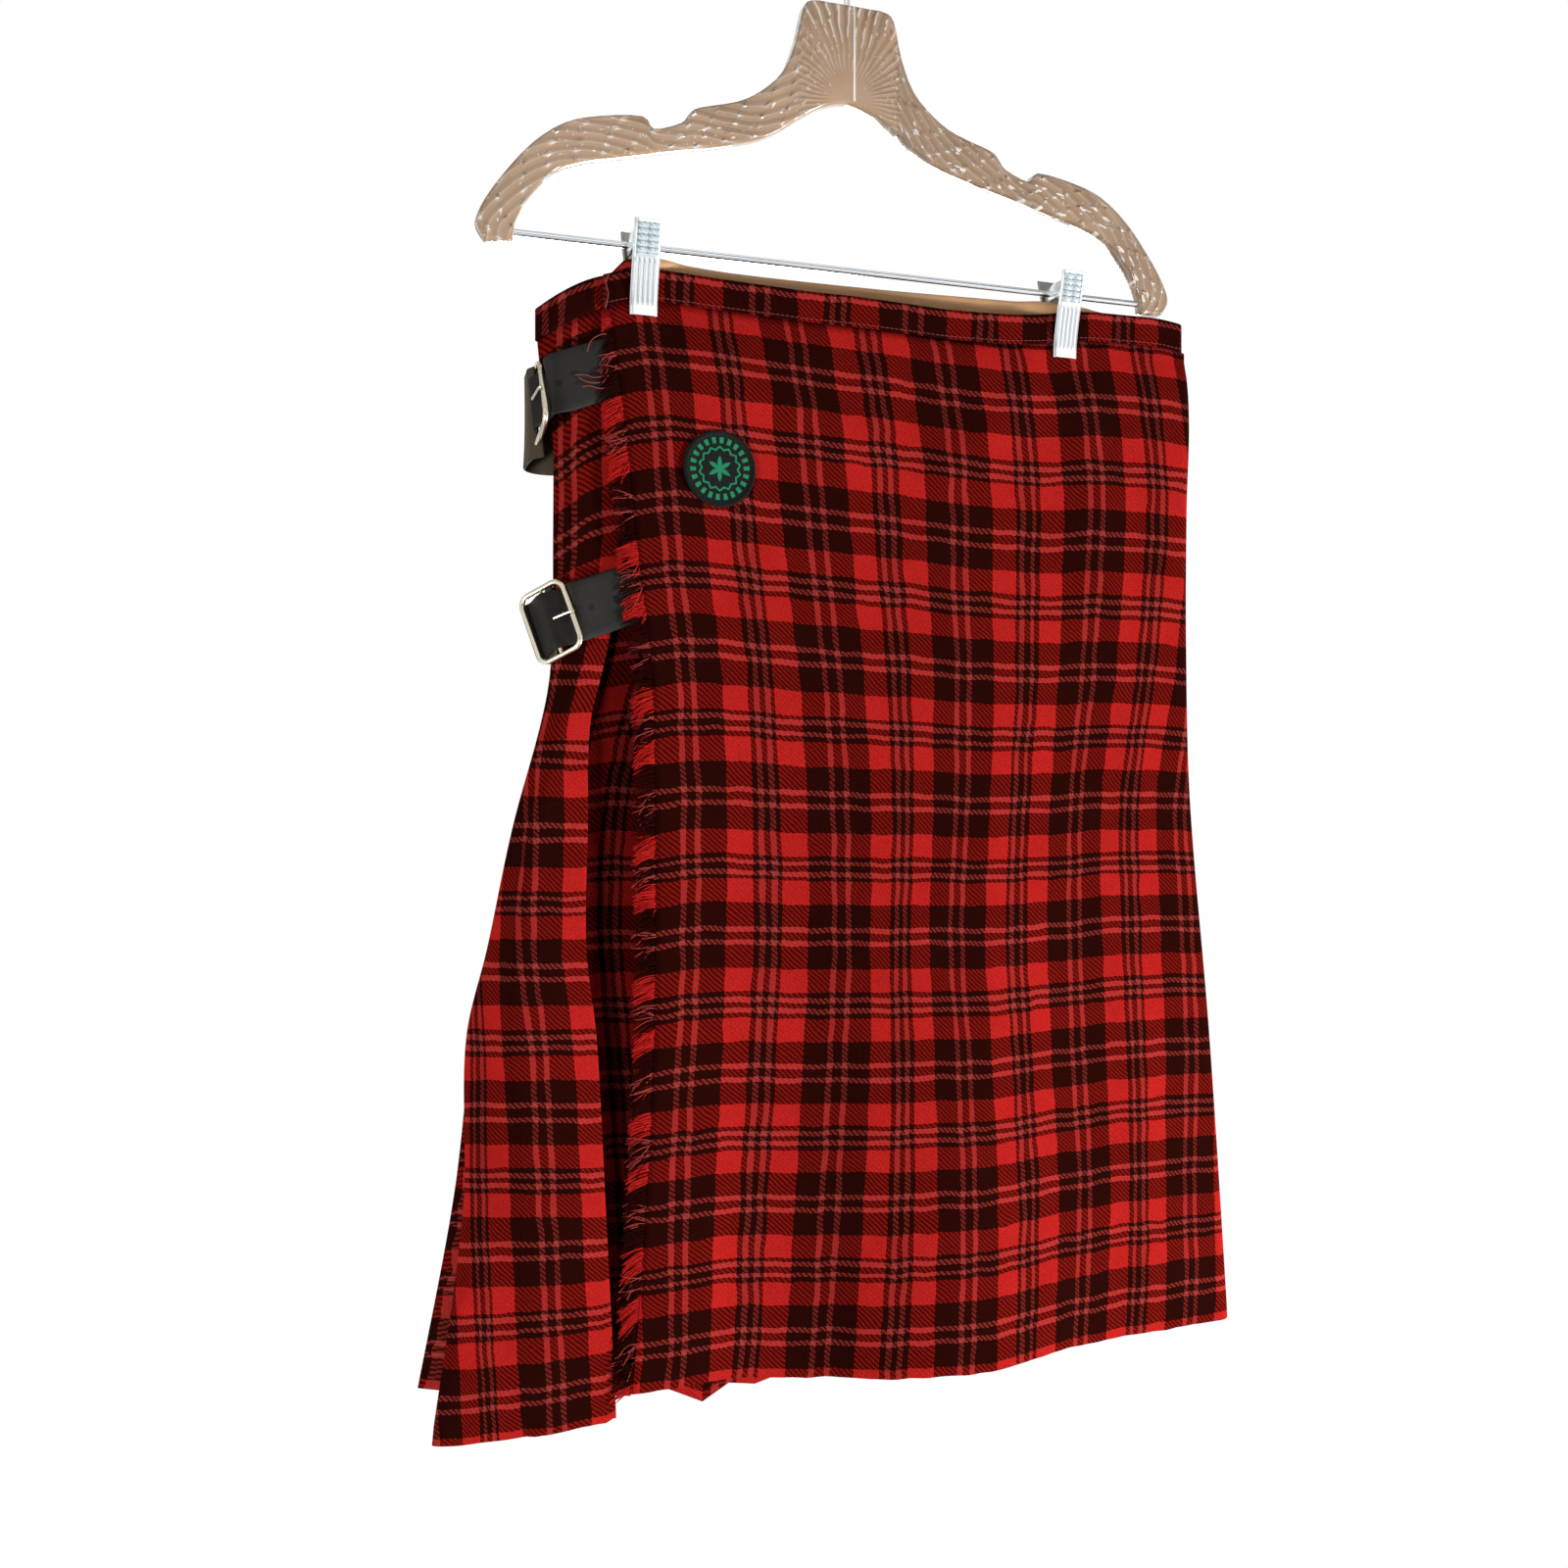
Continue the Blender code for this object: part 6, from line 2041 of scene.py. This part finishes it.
@dataclass
class Clip:
    """Two stamped plates with cheeks on the bar, and the spring between."""

    sizes: ClipSizes
    side: str
    x: float
    front_metal: Material
    back_metal: Material

    def stamped(self, across: float, along: float) -> float:
        """Height of the front plate's stamping.

        Args:
            across: -1 to 1 over the plate's width.
            along: 0 at its top, 1 at its lip.

        Returns:
            How far the sheet stands out.
        """
        knurl = 0.0
        if GRIP_FROM < along < GRIP_TO:
            row = (along - GRIP_FROM) / (GRIP_TO - GRIP_FROM) * GRIP_ROWS
            knurl = (math.sin(math.pi * (row % 1.0))
                     * max(math.cos((abs(across) - 0.38) * math.pi / 0.62), 0.0))
        flute = 0.0
        if FLUTES_FROM < along < FLUTES_TO:
            ends = smoothstep((along - FLUTES_FROM) / 0.05)
            ends *= smoothstep((FLUTES_TO - along) / 0.04)
            flute = max(math.cos(across * math.pi * 5.4), 0.0) ** 0.7 * ends
            flute *= 1 - smoothstep((abs(across) - 0.86) / 0.06)
        return self.sizes.knurl * knurl + self.sizes.flute * flute

    def half(self, name: str, profile: list, cheek: list, cheek_x: float,
             front: bool) -> None:
        """One plate with its two cheeks."""
        sizes = self.sizes
        material = self.front_metal if front else self.back_metal
        line = soft_path([(y * MM, z * MM) for y, z in profile], 12)
        runs = run_lengths(line)
        rows, uvs = [], []
        for (y, z), run in zip(line, runs):
            share = run / runs[-1]
            row, pairs = [], []
            for across in spread(-1.0, 1.0, 32):
                edge = sizes.curl * max(abs(across) - 0.80, 0.0) / 0.20
                rise = edge - self.stamped(across, share) if front else -edge
                row.append((self.x + across * sizes.width / 2, y + rise, z))
                pairs.append((share, across))
            rows.append(row)
            uvs.append(pairs)
        maker = Maker(name)
        maker.grid(rows, uvs)
        wall(maker.finish(material, "chrome", name), sizes.wall)
        cheeks = Maker(f"{name}_cheeks")
        for end in (-1, 1):
            x = self.x + end * cheek_x - sizes.wall / 2
            cheeks.plate([(x, y * MM, z * MM) for y, z in cheek], (sizes.wall, 0, 0),
                         0.0002)
        cheeks.finish(material, "chrome")

    def spring(self) -> None:
        """Coils round the bar."""
        sizes = self.sizes
        radius = sizes.spring_radius - sizes.spring_wire / 2
        half = (sizes.spring_length - sizes.spring_wire) / 2
        path = []
        for k, x in enumerate(spread(-half, half, sizes.turn_steps * sizes.spring_turns)):
            angle = 2 * math.pi * k / sizes.turn_steps
            path.append((self.x + x, radius * math.sin(angle),
                         BAR_Z + radius * math.cos(angle)))
        maker = Maker(f"clip_spring_{self.side}")
        maker.tube(path, [sizes.spring_wire / 2] * len(path), 8)
        maker.finish(self.back_metal, "chrome", f"clip_spring_{self.side}")

    def build(self) -> None:
        """Plates and spring."""
        outer = self.sizes.width / 2 - self.sizes.wall / 2
        inner = outer - self.sizes.wall - self.sizes.clearance
        self.half(f"clip_front_plate_{self.side}", FRONT_PLATE, FRONT_CHEEK, outer, True)
        self.half(f"clip_back_plate_{self.side}", BACK_PLATE, BACK_CHEEK, inner, False)
        self.spring()


# ---- stage --------------------------------------------------------------
@dataclass(frozen=True)
class Lamp:
    """One area lamp: where it stands, what it faces, its width and its power."""

    name: str
    place: tuple
    faces: tuple
    width: float
    watts: float


LAMPS = [
    Lamp("key", (1.90, -1.05, -1.26), (0.02, 0.0, -0.72), 0.35, 88.0),
    Lamp("left", (-1.75, -1.00, -1.10), (0.0, 0.0, -0.68), 0.45, 34.0),
    Lamp("back", (0.50, 2.30, -0.60), (0.0, 0.0, -0.60), 0.80, 48.0),
]
FLOOR_Z = -1.35
FLOOR_RADIUS = 0.55


@dataclass(frozen=True)
class Stage:
    """Camera, lamps and a bright surround."""

    camera_place: tuple = (-0.360, -0.880, -0.510)
    camera_turn: tuple = (90.0, 0.0, -20.0)
    lens: float = 36.9
    sensor: float = 36.0
    rise: float = -0.00625
    near: float = 0.05
    cool: tuple = (0.96, 0.98, 1.0, 1.0)
    white: tuple = (1.0, 1.0, 1.0, 1.0)
    soft_light: float = 0.26
    gloss_dark: float = 0.10
    gloss_light: float = 1.30
    card_scale: float = 2.6

    def add(self, name: str, data: Any) -> bpy.types.Object:
        """Adds an object of some data to the scene."""
        obj = bpy.data.objects.new(name, data)
        bpy.context.scene.collection.objects.link(obj)
        return obj

    def camera(self) -> None:
        """The camera, level and turned to the right."""
        data = bpy.data.cameras.new("camera")
        data.lens, data.sensor_width = self.lens, self.sensor
        data.shift_y, data.clip_start = self.rise, self.near
        obj = self.add("camera", data)
        obj.location = self.camera_place
        obj.rotation_euler = [math.radians(a) for a in self.camera_turn]
        bpy.context.scene.camera = obj

    def lamp(self, lamp: Lamp) -> None:
        """One area lamp."""
        data = bpy.data.lights.new(lamp.name, "AREA")
        data.size, data.energy = lamp.width, lamp.watts
        obj = self.add(lamp.name, data)
        obj.location = lamp.place
        away = Vector(lamp.faces) - Vector(lamp.place)
        obj.rotation_euler = away.to_track_quat("-Z", "Y").to_euler()

    def surround(self) -> None:
        """White behind the object, with a softer light from all round."""
        world = bpy.data.worlds.new("studio")
        world.use_nodes = True
        g = Nodes(world.node_tree, "ShaderNodeOutputWorld")
        around = g.node("ShaderNodeTexCoord", None, None, "Generated")
        cards = g.node("ShaderNodeTexNoise", None,
                       {"Vector": around, "Scale": self.card_scale}, "Fac")
        gloss = g.node("ShaderNodeMapRange", None,
                       {"Value": cards, "From Min": 0.40, "From Max": 0.60,
                        "To Min": self.gloss_dark, "To Max": self.gloss_light}, "Result")
        mirrored = g.node("ShaderNodeLightPath", None, None, "Is Glossy Ray")
        strength = g.node("ShaderNodeMapRange", None,
                          {"Value": mirrored, "To Min": self.soft_light,
                           "To Max": gloss}, "Result")
        soft = g.node("ShaderNodeBackground", None,
                      {"Color": self.cool, "Strength": strength})
        plain = g.node("ShaderNodeBackground", None, {"Color": self.white})
        seen = g.node("ShaderNodeLightPath", None, None, "Is Camera Ray")
        g.show(g.node("ShaderNodeMixShader", None, {"Fac": seen, 1: soft, 2: plain}))
        scene = bpy.context.scene
        scene.world = world
        scene.view_settings.view_transform = "Standard"

    def floor(self) -> None:
        """Pale round floor under the hanging object."""
        bm = bmesh.new()
        bmesh.ops.create_circle(bm, cap_ends=True, radius=FLOOR_RADIUS, segments=96)
        bmesh.ops.translate(bm, verts=bm.verts, vec=(0.0, 0.0, FLOOR_Z))
        mesh = bpy.data.meshes.new("floor")
        bm.to_mesh(mesh)
        bm.free()
        g = Graph("pale_floor")
        pale = g.toned(self.white[:3], g.noise(3.0) * 0.04 + 0.84)
        mesh.materials.append(g.finish(pale, 0.9))
        self.add("floor", mesh)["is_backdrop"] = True

    def build(self) -> None:
        """The whole stage."""
        self.camera()
        for lamp in LAMPS:
            self.lamp(lamp)
        self.surround()
        self.floor()


def rounded(bounds: Any) -> Any:
    """Bounds as plain lists."""
    if isinstance(bounds, dict):
        return {key: rounded(value) for key, value in bounds.items()}
    if isinstance(bounds, (float, int)):
        return round(float(bounds), 5)
    return [rounded(value) for value in bounds]


def main() -> None:
    """Dresses the kilt on its hanger."""
    logging.basicConfig(level=logging.INFO, format="%(name)s %(message)s")
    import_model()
    sizes = {"cad": rounded(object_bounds())}
    form = KiltForm(KiltSizes())
    tartan = Tartan().build()
    yarn = Tartan(name="ravelled_yarn", loose=True, depth=1.12).build()
    # a copy of the tartan at about a third of its brightness: painted shade for the layer
    # under the apron
    inner = Tartan(name="tartan_painted_shade", depth=0.35).build()
    chrome = Metal("chrome", (0.86, 0.88, 0.89), 0.08).build()
    grey = Metal("grey_steel", (0.42, 0.41, 0.36), 0.30).build()
    gilt = Metal("pale_gilt", (0.83, 0.74, 0.56), 0.16).build()
    red_thread, waxed, black_thread = [
        Leather(name, colour=colour).build() for name, colour in THREADS.items()]
    plain = Leather("tab_leather", colour=(0.048, 0.034, 0.018),
                    half_width=0.0275).build()
    cloth = KiltCloth(form, tartan, inner)
    cloth.build()
    Fringe(FringeSizes(), cloth, yarn).build()
    Waistband(BandSizes(), form, tartan, Tape().build(), red_thread).build()
    for route in ROUTES:
        leather = Leather(f"strap_leather_{route.name}", route.holes).build()
        Fastening(FasteningSizes(), route, form, leather, plain, gilt, waxed).build()
    badge = BadgeSizes()
    Badge(badge, form, Embroidery(badge.radius).build(), black_thread).build()
    Hanger(HangerSizes(), CutPlastic().build(), chrome).build()
    stamped = StampedChrome().build()
    for side, x in zip(("right_hip", "left_hip"), form.sizes.clips):
        Clip(ClipSizes(), side, x + SHIFT_X, stamped, grey).build()
    Stage().build()
    sizes["visual"] = rounded(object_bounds())


if __name__ == "__main__":
    main()
